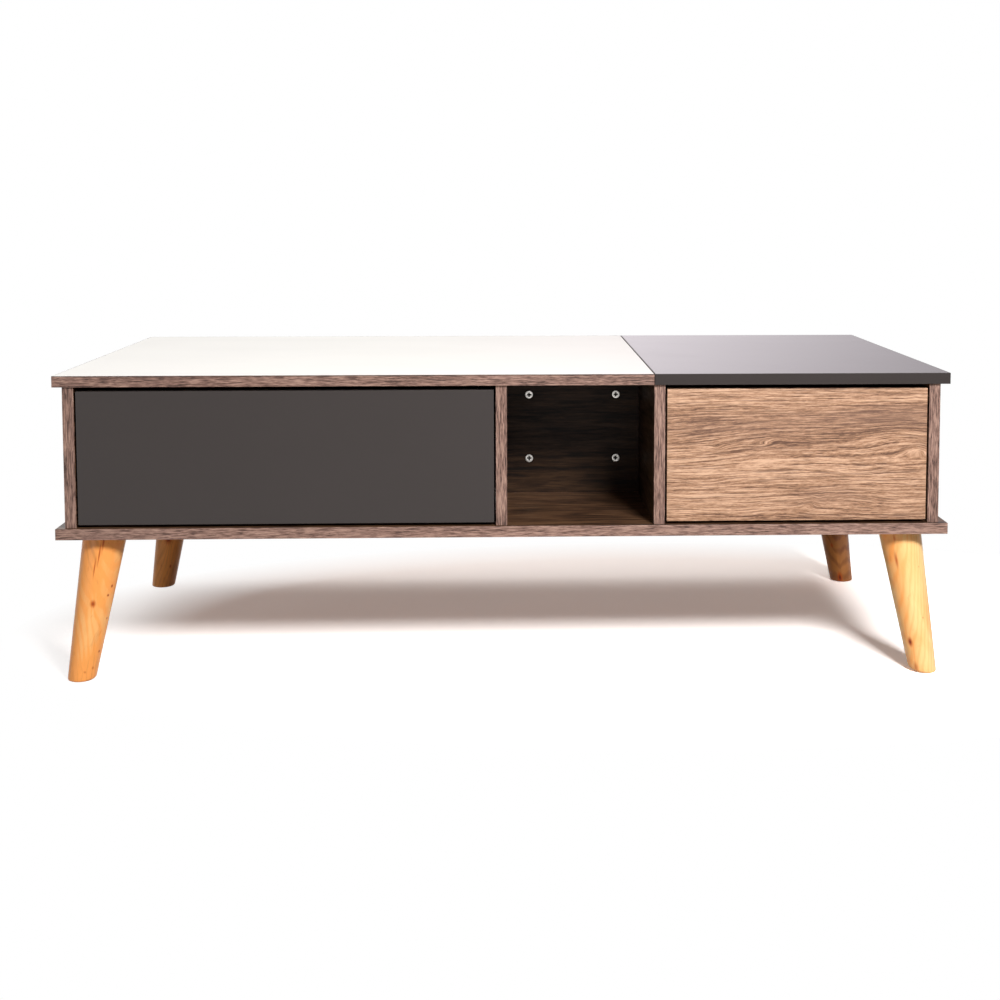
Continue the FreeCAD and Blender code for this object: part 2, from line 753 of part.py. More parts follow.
# One of each fastener, about its own Z axis
cam_drum = rod("cam_drum", (ZERO, ZERO, -s.cam_height), "+z", s.cam_radius, s.cam_height)
half_slot = s.cam_slot_length / 2
half_width = s.cam_slot_width / 2
slot_z = (-s.cam_slot_depth, s.overrun)
cam_slots = [
    box("cam_slot_long", (-half_slot, half_slot), (-half_width, half_width), slot_z),
    box("cam_slot_cross", (-half_width, half_width), (-half_slot, half_slot), slot_z),
]
mouth_length = s.cam_radius + s.overrun
cam_mouth = rod("cam_mouth", (ZERO, ZERO, -middle_board), "-x", s.cam_bolt_bore_radius, mouth_length)
cam_disc = eased("cam_disc", cam_drum, s.cam_ease, in_face("+z", ZERO))
cam_master = cut("cam_master", cam_disc, cam_slots + [cam_mouth])
head_end = s.cam_inset - s.cam_bolt_tip_gap
neck_start = head_end - s.cam_bolt_head - s.cam_bolt_neck
bolt_master = turned(
    "cam_bolt_master",
    [
        (ZERO, -s.cam_bolt_bite),
        (s.cam_bolt_bite_radius, -s.cam_bolt_bite),
        (s.cam_bolt_bite_radius, ZERO),
        (s.cam_bolt_radius, ZERO),
        (s.cam_bolt_radius, neck_start),
        (s.cam_bolt_neck_radius, neck_start),
        (s.cam_bolt_neck_radius, head_end - s.cam_bolt_head),
        (s.cam_bolt_head_radius, head_end - s.cam_bolt_head),
        (s.cam_bolt_head_radius, head_end),
        (ZERO, head_end),
    ],
)
dowel_master = rod("dowel_master", (ZERO, ZERO, ZERO), "+z", s.dowel_radius, s.dowel_length)
screw_master = turned(
    "screw_master",
    [
        (ZERO, ZERO),
        (s.screw_head_radius, ZERO),
        (s.screw_head_radius, s.screw_head),
        (s.screw_radius, s.screw_head),
        (s.screw_radius, s.screw_length),
        (ZERO, s.screw_length),
    ],
)
rail_screw_master = turned(
    "rail_screw_master",
    [
        (ZERO, ZERO),
        (s.rail_screw_head_radius, ZERO),
        (s.rail_screw_radius, s.rail_sheet),
        (s.rail_screw_radius, s.rail_screw_length),
        (ZERO, s.rail_screw_length),
    ],
)
leg_bolt_blank = turned(
    "leg_bolt_blank",
    [
        (ZERO, -s.board - s.leg_bolt_reach),
        (s.leg_bolt_radius, -s.board - s.leg_bolt_reach),
        (s.leg_bolt_radius, ZERO),
        (s.leg_flange_radius, ZERO),
        (s.leg_flange_radius, s.leg_flange),
        (s.leg_head_radius, s.leg_flange),
        (s.leg_head_radius, s.leg_flange + s.leg_head),
        (ZERO, s.leg_flange + s.leg_head),
    ],
)
hex_key = doc.addObject("Part::Prism", "leg_bolt_socket")
hex_key.Polygon = 6
bind(hex_key, Circumradius=s.leg_socket_radius, Height=s.leg_socket_depth + s.overrun)
place(hex_key, (ZERO, ZERO, s.leg_flange + s.leg_head - s.leg_socket_depth))
leg_bolt_master = cut("leg_bolt_master", leg_bolt_blank, [hex_key])
insert_master = turned(
    "insert_master",
    [
        (s.leg_bolt_radius, ZERO),
        (s.insert_radius, ZERO),
        (s.insert_radius, s.insert_length),
        (s.leg_bolt_radius, s.insert_length),
    ],
)
doc.recompute()


def cam_placements(cams):
    """Cams in their mouths, each turned so that its side opening faces its bolt."""
    placements = []
    for mouth, opening, way in cams:
        out = Vector(*WAYS[opening][1])
        toward_bolt = Vector(*WAYS[way][1]) * -1
        third = out.cross(toward_bolt * -1)
        turn = Rotation(toward_bolt * -1, third, out, "ZXY")
        placements.append(Placement(Vector(*(Size.of(size).number for size in mouth)), turn))
    return placements


copies("carcass_cam_locks", cam_master, cam_placements(cam_seats))
copies("carcass_cam_bolts", bolt_master, cam_bolt_seats)
copies("carcass_dowels", dowel_master, dowel_seats)
copies("carcass_screws", screw_master, screw_seats)
copies("bay_rail_screws", rail_screw_master, bay_rail_screws)
copies("leg_bolts", leg_bolt_master, leg_bolt_seats)
copies("leg_inserts", insert_master, insert_seats)
for bay in bays:
    copies(f"{bay.name}_drawer_cam_locks", cam_master, cam_placements(bay.cams))
    copies(f"{bay.name}_drawer_cam_bolts", bolt_master, bay.bolts)
    copies(f"{bay.name}_drawer_back_screws", screw_master, bay.screws)
    copies(f"{bay.name}_drawer_rail_screws", rail_screw_master, bay.rail_screws)
doc.recompute()

# Nothing is written unless every object is sound
for thing in doc.Objects:
    if "Invalid" in thing.State or "Error" in thing.State:
        raise ValueError(f"{thing.Label} failed: {thing.State}")
for label, thing in parts.items():
    if thing.Shape.isNull() or not thing.Shape.isValid():
        raise ValueError(f"{label} has no sound shape")
os.makedirs("parts", exist_ok=True)
for label, thing in parts.items():
    thing.Shape.exportStep(f"parts/{label}.step")
print(f"{len(parts)} nodes, {sum(len(thing.Shape.Solids) for thing in parts.values())} solids")
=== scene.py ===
"""Coffee table with two drawers, an open niche and splayed legs: its finishes, edges, legs and studio.

Lengths are in metres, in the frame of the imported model: +Z up, the floor at z = 0 and the front at -Y.
"""
import math

import bmesh
import bpy
import numpy as np
from bpy.props import FloatProperty, FloatVectorProperty, IntProperty, PointerProperty
from mathutils import Matrix, Vector


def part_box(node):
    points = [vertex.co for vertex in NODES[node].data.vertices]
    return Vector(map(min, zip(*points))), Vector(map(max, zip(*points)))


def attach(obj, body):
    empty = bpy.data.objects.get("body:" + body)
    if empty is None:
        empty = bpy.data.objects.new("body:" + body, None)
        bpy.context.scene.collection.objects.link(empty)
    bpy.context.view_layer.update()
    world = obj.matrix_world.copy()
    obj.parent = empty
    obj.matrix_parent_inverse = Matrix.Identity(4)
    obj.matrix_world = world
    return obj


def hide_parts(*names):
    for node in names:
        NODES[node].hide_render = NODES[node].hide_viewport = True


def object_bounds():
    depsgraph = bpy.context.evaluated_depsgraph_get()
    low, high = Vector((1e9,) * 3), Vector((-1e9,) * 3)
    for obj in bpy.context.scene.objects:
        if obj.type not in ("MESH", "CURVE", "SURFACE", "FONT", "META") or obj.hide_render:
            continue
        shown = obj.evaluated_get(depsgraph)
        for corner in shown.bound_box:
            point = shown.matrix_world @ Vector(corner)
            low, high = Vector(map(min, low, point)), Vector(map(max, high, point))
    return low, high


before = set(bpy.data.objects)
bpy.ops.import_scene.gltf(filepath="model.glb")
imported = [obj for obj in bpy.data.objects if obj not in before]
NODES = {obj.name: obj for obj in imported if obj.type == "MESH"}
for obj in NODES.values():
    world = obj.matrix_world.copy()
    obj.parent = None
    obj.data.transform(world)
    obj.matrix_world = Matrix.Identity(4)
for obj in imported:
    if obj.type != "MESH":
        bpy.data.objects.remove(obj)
CAD_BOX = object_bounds()
MM = 0.001

bl_info = {
    "name": "Coffee table with two drawers",
    "version": (1, 0, 0),
    "blender": (4, 5, 0),
    "location": "3D View > Sidebar > Table",
    "description": "Finishes, edge bands, drawer fronts, legs and studio of a coffee table",
    "category": "Object",
}


def linear(red, green, blue):
    """A display colour of 0 to 255 as linear light: each share over its toe, to the power 2.4."""
    shares = np.array([red, green, blue]) / 255
    light = np.where(shares <= 0.04045, shares / 12.92, ((shares + 0.055) / 1.055) ** 2.4)
    return tuple(float(value) for value in light)


def colour(name, description, *display):
    """A colour property, with its default given as a display colour."""
    return FloatVectorProperty(
        name=name, description=description, subtype="COLOR", size=3, min=0, max=1, default=linear(*display)
    )


def length(name, description, default):
    """A length property in metres."""
    return FloatProperty(name=name, description=description, unit="LENGTH", min=0, precision=5, default=default)


def watts(name, description, default):
    """A lamp's power property in watts."""
    return FloatProperty(name=name, description=description, subtype="POWER", default=default)


class TableSizes(bpy.types.PropertyGroup):
    """Sizes of the pieces that are made here."""

    band_ease: length("Band ease", "Radius of an edge band's outer edges", 0.0005)
    front_ease: length("Front ease", "Radius of a drawer front's edges", 0.0008)
    front_step: length("Front step", "Spacing of the points on a drawer front's face", 0.003)
    leg_top_radius: length("Leg top radius", "Radius of a leg's cone at the board", 0.029)
    leg_foot_radius: length("Leg foot radius", "Radius of a leg's cone at the floor", 0.0185)
    leg_height: length("Leg height", "Height of the board's underside over the floor", 0.2)
    leg_splay_x: length("Leg splay along the table", "How far a foot stands out past its head, in x", 0.0335)
    leg_splay_y: length("Leg splay across the table", "How far a foot stands out past its head, in y", 0.012)
    leg_inset_x: length("Leg inset along the table", "From the end of the table to the middle of a leg's head", 0.054)
    leg_inset_y: length("Leg inset across the table", "From the front of the table to a leg's head", 0.05)
    cam_ease: length("Cam ease", "Radius of a cam disc's rim", 0.0007)
    cam_recess_reach: length("Cam recess reach", "From the middle of a cam's cross to the end of an arm", 0.0029)
    cam_recess_width: length("Cam recess width", "Width of an arm of a cam's cross", 0.0021)
    cam_recess_depth: length("Cam recess depth", "Depth of a cam's cross", 0.003)
    foot_round: length("Foot round", "Radius of the rounded edge of a foot, on its outer side", 0.0026)
    leg_columns: IntProperty(name="Leg columns", description="Points round a leg", min=24, default=144)
    leg_rows: IntProperty(name="Leg rows", description="Points up a leg", min=24, default=200)


class TableColours(bpy.types.PropertyGroup):
    """Colours of the finishes."""

    white: colour("White laminate", "The long top board", 247, 243, 236)
    anthracite: colour("Anthracite laminate", "The short top board and the left front", 54, 49, 48)
    band_light: colour("Edge bands, light streaks", "Brown edge bands", 168, 137, 123)
    band_middle: colour("Edge bands, ground", "Brown edge bands", 115, 87, 77)
    band_dark: colour("Edge bands, dark streaks", "Brown edge bands", 56, 37, 31)
    board_light: colour("Boards, light streaks", "Faces of the brown boards", 122, 89, 63)
    board_middle: colour("Boards, ground", "Faces of the brown boards", 80, 54, 37)
    board_dark: colour("Boards, dark streaks", "Faces of the brown boards", 42, 28, 19)
    oak_light: colour("Oak foil, light streaks", "The right front", 209, 171, 143)
    oak_middle: colour("Oak foil, ground", "The right front", 157, 119, 92)
    oak_mauve: colour("Oak foil, greyer zones", "The right front", 140, 111, 98)
    oak_dark: colour("Oak foil, dark streaks", "The right front", 84, 57, 44)
    pine_pale: colour("Pine, sapwood", "The legs", 253, 221, 155)
    pine_honey: colour("Pine, heartwood", "The legs", 252, 168, 88)
    # Deep heartwood: real in the front right leg's streak, and painted shade on the back legs
    pine_amber_and_shade: colour("Pine, deep heartwood and painted shade", "The legs", 132, 78, 42)
    pine_brown: colour("Pine, round the knots", "The legs", 184, 76, 10)
    pine_knot: colour("Pine, knots", "The legs", 96, 26, 0)
    zinc: colour("Zinc", "Cam locks and inserts", 228, 227, 222)
    steel: colour("Steel", "Bolts and screws", 196, 196, 198)
    rail: colour("Rail coat", "Runners of the drawers", 226, 226, 222)
    nylon: colour("Nylon", "Rollers", 232, 231, 224)
    hardboard: colour("Hardboard", "Bottoms of the drawers", 128, 98, 80)
    beech: colour("Beech", "Dowels", 214, 176, 132)


class TableStudio(bpy.types.PropertyGroup):
    """Floor, lamps and camera."""

    floor: colour("Floor", "The pale floor", 244, 238, 235)
    key_power: watts("Key power", "Front softbox", 80)
    top_power: watts("Top power", "Overhead softbox", 16)
    fill_power: watts("Fill power", "Low softbox on the left", 9)
    sky: FloatProperty(name="Sky", description="Strength of the even light from all round", default=0.075)
    lens: FloatProperty(name="Lens", description="Focal length on a 36 mm sensor, in mm", default=56.691)
    shift_x: FloatProperty(name="Shift across", description="Sensor shift, in widths", default=-0.0543)
    shift_y: FloatProperty(name="Shift up", description="Sensor shift, in widths", default=-0.1743)
    camera: FloatVectorProperty(
        name="Camera", description="Where the camera stands", subtype="XYZ", unit="LENGTH", precision=4,
        default=(-0.0066, -2.39, 0.65274),
    )
    turn: FloatVectorProperty(
        name="Camera turn", description="Pitch, roll and yaw from looking along +Y", subtype="EULER",
        precision=4, default=(-0.07994, 0.0001, -0.03442),
    )


# Materials


class NodeGraph:
    """The nodes of one tree: each method adds some, and all but add return the output that they end in."""

    def __init__(self, tree):
        self.tree = tree

    def add(self, kind, inputs=(), **settings):
        """A node with its settings, whose inputs are sockets to link or plain values."""
        node = self.tree.nodes.new(f"ShaderNode{kind}")
        for name, value in settings.items():
            setattr(node, name, value)
        for key, value in dict(inputs).items():
            if isinstance(value, bpy.types.NodeSocket):
                self.tree.links.new(value, node.inputs[key])
            else:
                node.inputs[key].default_value = value
        return node

    def level(self, value, low, high, to_low=0.0, to_high=1.0):
        """A value rescaled from one range to another and held inside it."""
        inputs = {"Value": value, "From Min": low, "From Max": high, "To Min": to_low, "To Max": to_high}
        return self.add("MapRange", inputs).outputs[0]

    def maths(self, kind, first, second=0.0):
        """One sum, product or the like of two values."""
        return self.add("Math", {0: first, 1: second}, operation=kind).outputs[0]

    def total(self, *parts):
        """The sum of values, each times its weight."""
        whole, *rest = (self.maths("MULTIPLY", value, weight) for value, weight in parts)
        for part in rest:
            whole = self.maths("ADD", whole, part)
        return whole

    def blend(self, share, first, second):
        """Two colours blended by a share."""
        node = self.add("Mix", data_type="RGBA")
        for socket, value in ((node.inputs[0], share), (node.inputs[6], first), (node.inputs[7], second)):
            if isinstance(value, bpy.types.NodeSocket):
                self.tree.links.new(value, socket)
            elif isinstance(value, (int, float)):
                socket.default_value = value
            else:
                socket.default_value = (*value, 1.0)
        return node.outputs[2]


class Finish(NodeGraph):
    """A material in the making, with patterns in metres on the object's own coordinates or on an attribute."""

    def __init__(self, name, roughness, **sockets):
        self.material = bpy.data.materials.new(name)
        self.material.use_nodes = True
        super().__init__(self.material.node_tree)
        self.shader = self.tree.nodes["Principled BSDF"]
        self.shader.inputs["Roughness"].default_value = roughness
        for socket, value in sockets.items():
            self.shader.inputs[socket.replace("_", " ")].default_value = value

    def place(self, scale, source=None, turn=(0, 0, 0), shift=(0, 0, 0)):
        """Coordinates for a pattern: the object's own, or an attribute of the mesh, turned and then stretched."""
        if source:
            start = self.add("Attribute", attribute_name=source).outputs["Vector"]
        else:
            start = self.add("TexCoord").outputs["Object"]
        moved = self.add("Mapping", {"Vector": start, "Location": shift, "Rotation": turn}).outputs[0]
        return self.add("Mapping", {"Vector": moved, "Scale": scale}).outputs[0]

    def noise(self, scale, detail=2.0, roughness=0.5, distortion=0.0, **placing):
        """Smooth noise, from about 0.25 to 0.75, with so many waves per metre along each axis."""
        vector = self.place(scale, **placing)
        inputs = {"Vector": vector, "Scale": 1.0, "Detail": detail, "Roughness": roughness, "Distortion": distortion}
        return self.add("TexNoise", inputs).outputs["Fac"]

    def field(self, name):
        """A value that the mesh holds at each point."""
        return self.add("Attribute", attribute_name=name).outputs["Fac"]

    def overlay(self, shade, *tints):
        """A colour under others: for each, a value, the range in which it comes in, its greatest share and its tint."""
        for value, low, high, share, tint in tints:
            shade = self.blend(self.level(value, low, high, 0.0, share), shade, tint)
        return shade

    def ramp(self, value, *stops):
        """A colour that runs through stops of position and colour."""
        node = self.add("ValToRGB", {"Fac": value})
        elements = node.color_ramp.elements
        for index, (position, shade) in enumerate(stops):
            element = elements[index] if index < 2 else elements.new(position)
            element.position = position
            element.color = (*shade, 1.0)
        return node.outputs["Color"]

    def wear(self, value):
        """Roughness that varies over the surface."""
        self.tree.links.new(value, self.shader.inputs["Roughness"])

    def paint(self, shade):
        """The base colour."""
        self.tree.links.new(shade, self.shader.inputs["Base Color"])

    def relief(self, height, depth, strength):
        """Bump of a depth in metres."""
        bump = self.add("Bump", {"Height": height, "Distance": depth, "Strength": strength})
        self.tree.links.new(bump.outputs[0], self.shader.inputs["Normal"])


def toned(shade, share):
    """A colour at a share of its light."""
    return tuple(share * part for part in shade)


# Turns that lay the grain along each axis
GRAIN_TURNS = {"x": (0, 0, 0), "y": (0, 0, math.radians(90)), "z": (0, math.radians(90), 0)}
# Depths under the rim of the top between which the glue line of the laminate darkens its edge band
GLUE_LINE = (0.0018, 0.0008)


def wood_foil(name, along, dark, middle, light, size=1.0, rim=None, gloss=0.4):
    """Wood-look foil: streaks stretched along the grain over a slowly changing ground, with short dark pores.

    The size widens the whole pattern, and the gloss is the foil's specular level. Just under a rim at the height
    given the foil is darker, where the glue line shows.
    """
    work = Finish(f"{name}_along_{along}", 0.42, Specular_IOR_Level=gloss)

    def pattern(along_grain, across, shift=(0, 0, 0), **settings):
        scale = (along_grain / size, across / size, across / size)
        return work.noise(scale, turn=GRAIN_TURNS[along], shift=shift, **settings)

    bend = pattern(3, 9, (0.7, 0.3, 0.1))
    ground = pattern(13, 150, detail=3, roughness=0.6, distortion=0.5)
    streak = pattern(52, 560, detail=3, roughness=0.7, distortion=0.2)
    fibre = pattern(110, 1900, roughness=0.6)
    pore = pattern(60, 900, (0.3, 0.9, 0.4), detail=1)
    fleck = pattern(50, 800, (0.8, 0.2, 0.6), detail=1)
    tone = work.maths("ADD", work.total((ground, 0.25), (streak, 0.75)), work.level(bend, 0.3, 0.7, -0.03, 0.03))
    paler = tuple(0.6 * low + 0.4 * high for low, high in zip(middle, light))
    shade = work.ramp(tone, (0.4, dark), (0.6, light), (0.47, middle), (0.53, paler))
    shade = work.overlay(
        shade, (fibre, 0.4, 0.7, 0.25, middle), (fleck, 0.6, 0.7, 0.4, light), (pore, 0.58, 0.68, 0.5, dark)
    )
    if rim:
        height = work.add("SeparateXYZ", {0: work.add("TexCoord").outputs["Object"]}).outputs["Z"]
        low, high = (rim - depth for depth in GLUE_LINE)
        shade = work.overlay(shade, (height, low, high, 0.75, dark))
    work.paint(shade)
    work.wear(work.level(streak, 0.3, 0.7, 0.5, 0.36))
    work.relief(work.maths("SUBTRACT", streak, work.level(pore, 0.62, 0.7, 0, 0.6)), depth=0.00006, strength=0.6)
    return work.material


def foils(name, *shades, **settings):
    """A foil for each direction of the grain."""
    return {along: wood_foil(name, along, *shades, **settings) for along in "xyz"}


def oak_foil(colours):
    """Oak-look foil on the front's own grain lines: growth lines, light streaks, pores and broad darker zones.

    The tone is a sum of noises, each with its scale along, into and across the grain and its weight.
    """
    work = Finish("oak_foil_figured", 0.45, Specular_IOR_Level=0.35)
    bands = (
        ((3.2, 12, 40), 0.08), ((5, 30, 170), 0.06), ((7, 60, 400), 0.12), ((6, 60, 620), 0.22),
        ((30, 90, 820), 0.3), ((130, 90, 1000), 0.22),
    )
    layers = [
        (work.noise(scale, 3, 0.6, 0.1, source="grain", shift=(0.2 * index, 0, 0.3 * index)), share)
        for index, (scale, share) in enumerate(bands)
    ]
    fibre = work.noise((110, 90, 2300), 2, 0.6, source="grain")
    pore = work.noise((18, 90, 640), 2, 0.6, source="grain", shift=(0.5, 0, 0.2))
    zone = work.field("tone")
    tone = work.total((zone, 0.12), *layers)
    shade = work.ramp(tone, (0.428, colours.oak_dark), (0.572, colours.oak_light), (0.49, colours.oak_middle))
    shade = work.blend(work.level(zone, -0.3, 0.0, 0.3, 0.0), shade, colours.oak_mauve)
    work.paint(
        work.overlay(shade, (fibre, 0.42, 0.7, 0.25, colours.oak_middle), (pore, 0.55, 0.66, 0.65, colours.oak_dark))
    )
    work.wear(work.level(layers[1][0], 0.3, 0.7, 0.52, 0.4))
    work.relief(work.maths("SUBTRACT", layers[2][0], work.level(pore, 0.62, 0.7, 0, 0.6)), depth=0.00008, strength=0.6)
    return work.material


def pine(colours):
    """Lacquered knotty softwood in each leg's own frame: soft growth rings round an offset pith, and dark knots."""
    work = Finish("pine_lacquered", 0.42, Specular_IOR_Level=0.3, Coat_Weight=0.06, Coat_Roughness=0.25)
    knot, heart, far = (work.field(name) for name in ("knot", "heart", "ring"))
    wander = work.noise((7, 22, 22), 3, 0.5, 0.4, source="grain")
    wobble = work.noise((9, 60, 60), source="grain")
    ring = work.maths("SINE", work.total((far, 1500), (wobble, 9)))
    fibre = work.noise((45, 1300, 1300), 2, 0.6, source="grain")
    stain = work.noise((22, 60, 60), 4, 0.6, 0.6, source="grain", shift=(0.4, 0.1, 0.8))
    share = work.maths("ADD", heart, work.level(wander, 0.32, 0.68, -0.42, 0.42))
    share = work.maths("ADD", share, work.level(ring, -0.2, 1.0, -0.06, 0.18))
    # Past a share of 1.2 the deep heartwood comes in: real on the front right leg, painted shade on the back legs
    tints = (
        (share, 0.0, 1.0, 1.0, colours.pine_honey), (share, 1.2, 2.4, 1.0, colours.pine_amber_and_shade),
        (fibre, 0.4, 0.72, 0.14, toned(colours.pine_honey, 0.55)), (stain, 0.62, 0.74, 0.35, colours.pine_brown),
        (knot, 0.05, 0.6, 0.85, colours.pine_brown), (knot, 0.6, 0.95, 0.9, colours.pine_knot),
    )
    work.paint(work.overlay(colours.pine_pale, *tints))
    work.wear(work.level(stain, 0.3, 0.7, 0.34, 0.46))
    work.relief(work.maths("SUBTRACT", fibre, work.maths("MULTIPLY", knot, 0.4)), depth=0.00005, strength=0.4)
    return work.material


def laminate(name, shade, roughness, specular, marks, **sockets):
    """Satin laminate: one colour with a fine pearl texture and faint wiping marks in its gloss."""
    work = Finish(name, roughness, Specular_IOR_Level=specular, **sockets)
    pearl = work.noise((1500,) * 3, 2, 0.6)
    cloud = work.noise((5, 9, 9), 3, 0.55, 0.4)
    work.paint(work.blend(work.level(cloud, 0.3, 0.7), toned(shade, 0.97), shade))
    smear = work.noise((7, 17, 17), 3, 0.5, 0.5, turn=(0, 0, 0.5))
    work.wear(work.level(smear, 0.3, 0.7, roughness - marks, roughness + marks))
    work.relief(pearl, depth=0.000003, strength=0.5)
    return work.material


def anthracite(colours, place, roughness, **sockets):
    """The anthracite laminate of one place: the top, the bands or the front."""
    marks = 0.06 * roughness
    return laminate(f"anthracite_{place}", colours.anthracite, roughness, marks=marks, **sockets)


def metal(name, shade, roughness, across=2200.0):
    """Plated metal with a drawn texture and small dull patches."""
    work = Finish(name, roughness, Metallic=1.0)
    drawn = work.noise((120, across, across), 2, 0.6)
    patch = work.noise((160,) * 3, 3, 0.6)
    work.paint(work.blend(work.level(patch, 0.35, 0.65), toned(shade, 0.82), shade))
    work.wear(work.level(patch, 0.35, 0.65, roughness + 0.1, roughness - 0.06))
    work.relief(drawn, depth=0.00002, strength=0.4)
    return work.material


def coat(name, shade, roughness, grain_size, depth, **sockets):
    """Powder coat or moulded plastic: an even colour with a fine pebbled surface."""
    work = Finish(name, roughness, **sockets)
    pebble = work.noise((1 / grain_size,) * 3)
    cloud = work.noise((40,) * 3)
    work.paint(work.blend(work.level(cloud, 0.35, 0.65), toned(shade, 0.93), shade))
    work.wear(work.level(pebble, 0.3, 0.7, roughness - 0.04, roughness + 0.06))
    work.relief(pebble, depth, strength=0.5)
    return work.material


def fibre_board(name, shade, stretch=4.0):
    """Pressed fibre or raw wood: short fibres, some lighter and some darker than the ground."""
    work = Finish(name, 0.62, Specular_IOR_Level=0.3)
    fibre = work.noise((900 / stretch, 900, 900), 4, 0.65, 0.5)
    cloud = work.noise((12, 30, 30), 3)
    paler = tuple(min(1, part) for part in toned(shade, 1.3))
    tone = work.total((fibre, 0.6), (cloud, 0.4))
    work.paint(work.ramp(tone, (0.35, toned(shade, 0.62)), (0.65, paler), (0.5, shade)))
    work.relief(fibre, depth=0.00008, strength=0.5)
    return work.material


def dress(material, *names):
    """Give CAD nodes a better material."""
    for name in names:
        node = NODES[name]
        node.data.materials.clear()
        node.data.materials.append(material)


# Meshes


# How near points merge, in metres, how far large faces rule the normals at their corners, where 50 is even, and the
# points of a quarter turn round an eased edge
MERGE_REACH = 1e-7
FLAT_WEIGHT = 80
EDGE_POINTS = 4


def grid_faces(rows, columns):
    """Quads of a grid of points that is closed round its columns."""
    row, column = np.meshgrid(np.arange(rows - 1), np.arange(columns), indexing="ij")
    after = (column + 1) % columns
    corners = (row * columns + column, row * columns + after, (row + 1) * columns + after, (row + 1) * columns + column)
    return np.stack([corner.ravel() for corner in corners], axis=1)


def closed_tube(points):
    """The points and faces of a grid whose rows are rings, with a face over each end."""
    rows, columns = points.shape[:2]
    caps = [list(range(columns))[::-1], list(range((rows - 1) * columns, rows * columns))]
    return points.reshape(-1, 3), grid_faces(rows, columns).tolist() + caps


def corners_of(points):
    """Lowest and highest corner of one solid."""
    return points.min(axis=0), points.max(axis=0)


# Decimals of a metre at which two points count as one
PLACES = 6


def loose_parts(node):
    """The points of each separate solid of a node: every point takes the lowest number that its triangles reach."""
    mesh = node.data
    points = np.empty(len(mesh.vertices) * 3, dtype=np.float32)
    mesh.vertices.foreach_get("co", points)
    corners = np.empty(len(mesh.loop_triangles) * 3, dtype=np.int32)
    mesh.loop_triangles.foreach_get("vertices", corners)
    places, same = np.unique(points.reshape(-1, 3).round(PLACES), axis=0, return_inverse=True)
    triangles = same.ravel()[corners.reshape(-1, 3)]
    label = np.arange(len(places))
    while True:
        lowest = label[triangles].min(axis=1)
        after = label.copy()
        for corner in range(3):
            np.minimum.at(after, triangles[:, corner], lowest)
        if (after == label).all():
            break
        label = after
    return [places[label == number] for number in np.unique(label)]


def placed(name, data):
    """A new object in the scene."""
    made = bpy.data.objects.new(name, data)
    bpy.context.scene.collection.objects.link(made)
    return made


def make_piece(name, points, faces, materials, body, nodes, face_materials=None, attributes=None):
    """A closed mesh from points and faces, with its doubles merged and its faces outward, which rides on a body."""
    mesh = bpy.data.meshes.new(name)
    mesh.from_pydata(points.tolist(), [], [list(face) for face in faces])
    for key, values in (attributes or {}).items():
        kind = "FLOAT_VECTOR" if values.ndim == 2 else "FLOAT"
        field = "vector" if values.ndim == 2 else "value"
        mesh.attributes.new(key, kind, "POINT").data.foreach_set(field, values.astype(np.float32).ravel())
    if face_materials is not None:
        mesh.polygons.foreach_set("material_index", np.asarray(face_materials, dtype=np.int32))
    shell = bmesh.new()
    shell.from_mesh(mesh)
    bmesh.ops.remove_doubles(shell, verts=shell.verts, dist=MERGE_REACH)
    bmesh.ops.recalc_face_normals(shell, faces=shell.faces)
    shell.to_mesh(mesh)
    shell.free()
    mesh.shade_smooth()
    for material in materials:
        mesh.materials.append(material)
    piece = placed(name, mesh)
    weighted = piece.modifiers.new("Flat faces keep their light", "WEIGHTED_NORMAL")
    weighted.mode = "FACE_AREA"
    weighted.weight = FLAT_WEIGHT
    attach(piece, body)
    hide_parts(*nodes)


def eased_block(low, high, ease):
    """A box swept by a sphere: each point is a corner of the box less the ease, plus the ease times a direction.

    The directions run over latitude in rows and over longitude in columns, and each eighth of the sphere
    belongs to one corner.
    """
    low, high = np.asarray(low, float), np.asarray(high, float)
    arc = np.linspace(0, math.pi / 2, EDGE_POINTS)
    latitude = np.concatenate([arc - math.pi / 2, arc])
    longitude = np.concatenate([arc + quarter * math.pi / 2 for quarter in range(4)])
    up = np.repeat([-1.0, 1.0], EDGE_POINTS)
    side_x = np.repeat([1.0, -1.0, -1.0, 1.0], EDGE_POINTS)
    side_y = np.repeat([1.0, 1.0, -1.0, -1.0], EDGE_POINTS)
    rise, turn = np.meshgrid(latitude, longitude, indexing="ij")
    direction = np.stack([np.cos(rise) * np.cos(turn), np.cos(rise) * np.sin(turn), np.sin(rise)], axis=-1)
    sign = np.stack(np.broadcast_arrays(side_x, side_y, up[:, None]), axis=-1)
    points = (low + high) / 2 + sign * ((high - low) / 2 - ease) + ease * direction
    rows, columns = rise.shape
    quads = grid_faces(rows, columns).tolist()
    first = list(range(0, columns, EDGE_POINTS))
    last = [(rows - 1) * columns + index for index in first]
    return points.reshape(-1, 3), quads + [first[::-1], last]


def joined(blocks):
    """Several blocks as one set of points and faces, with the number of the block that each face is of."""
    points, faces, owners, start = [], [], [], 0
    for number, (block_points, block_faces) in enumerate(blocks):
        points.append(block_points)
        faces += [[index + start for index in face] for face in block_faces]
        owners += [number] * len(block_faces)
        start += len(block_points)
    return np.concatenate(points), faces, np.array(owners)


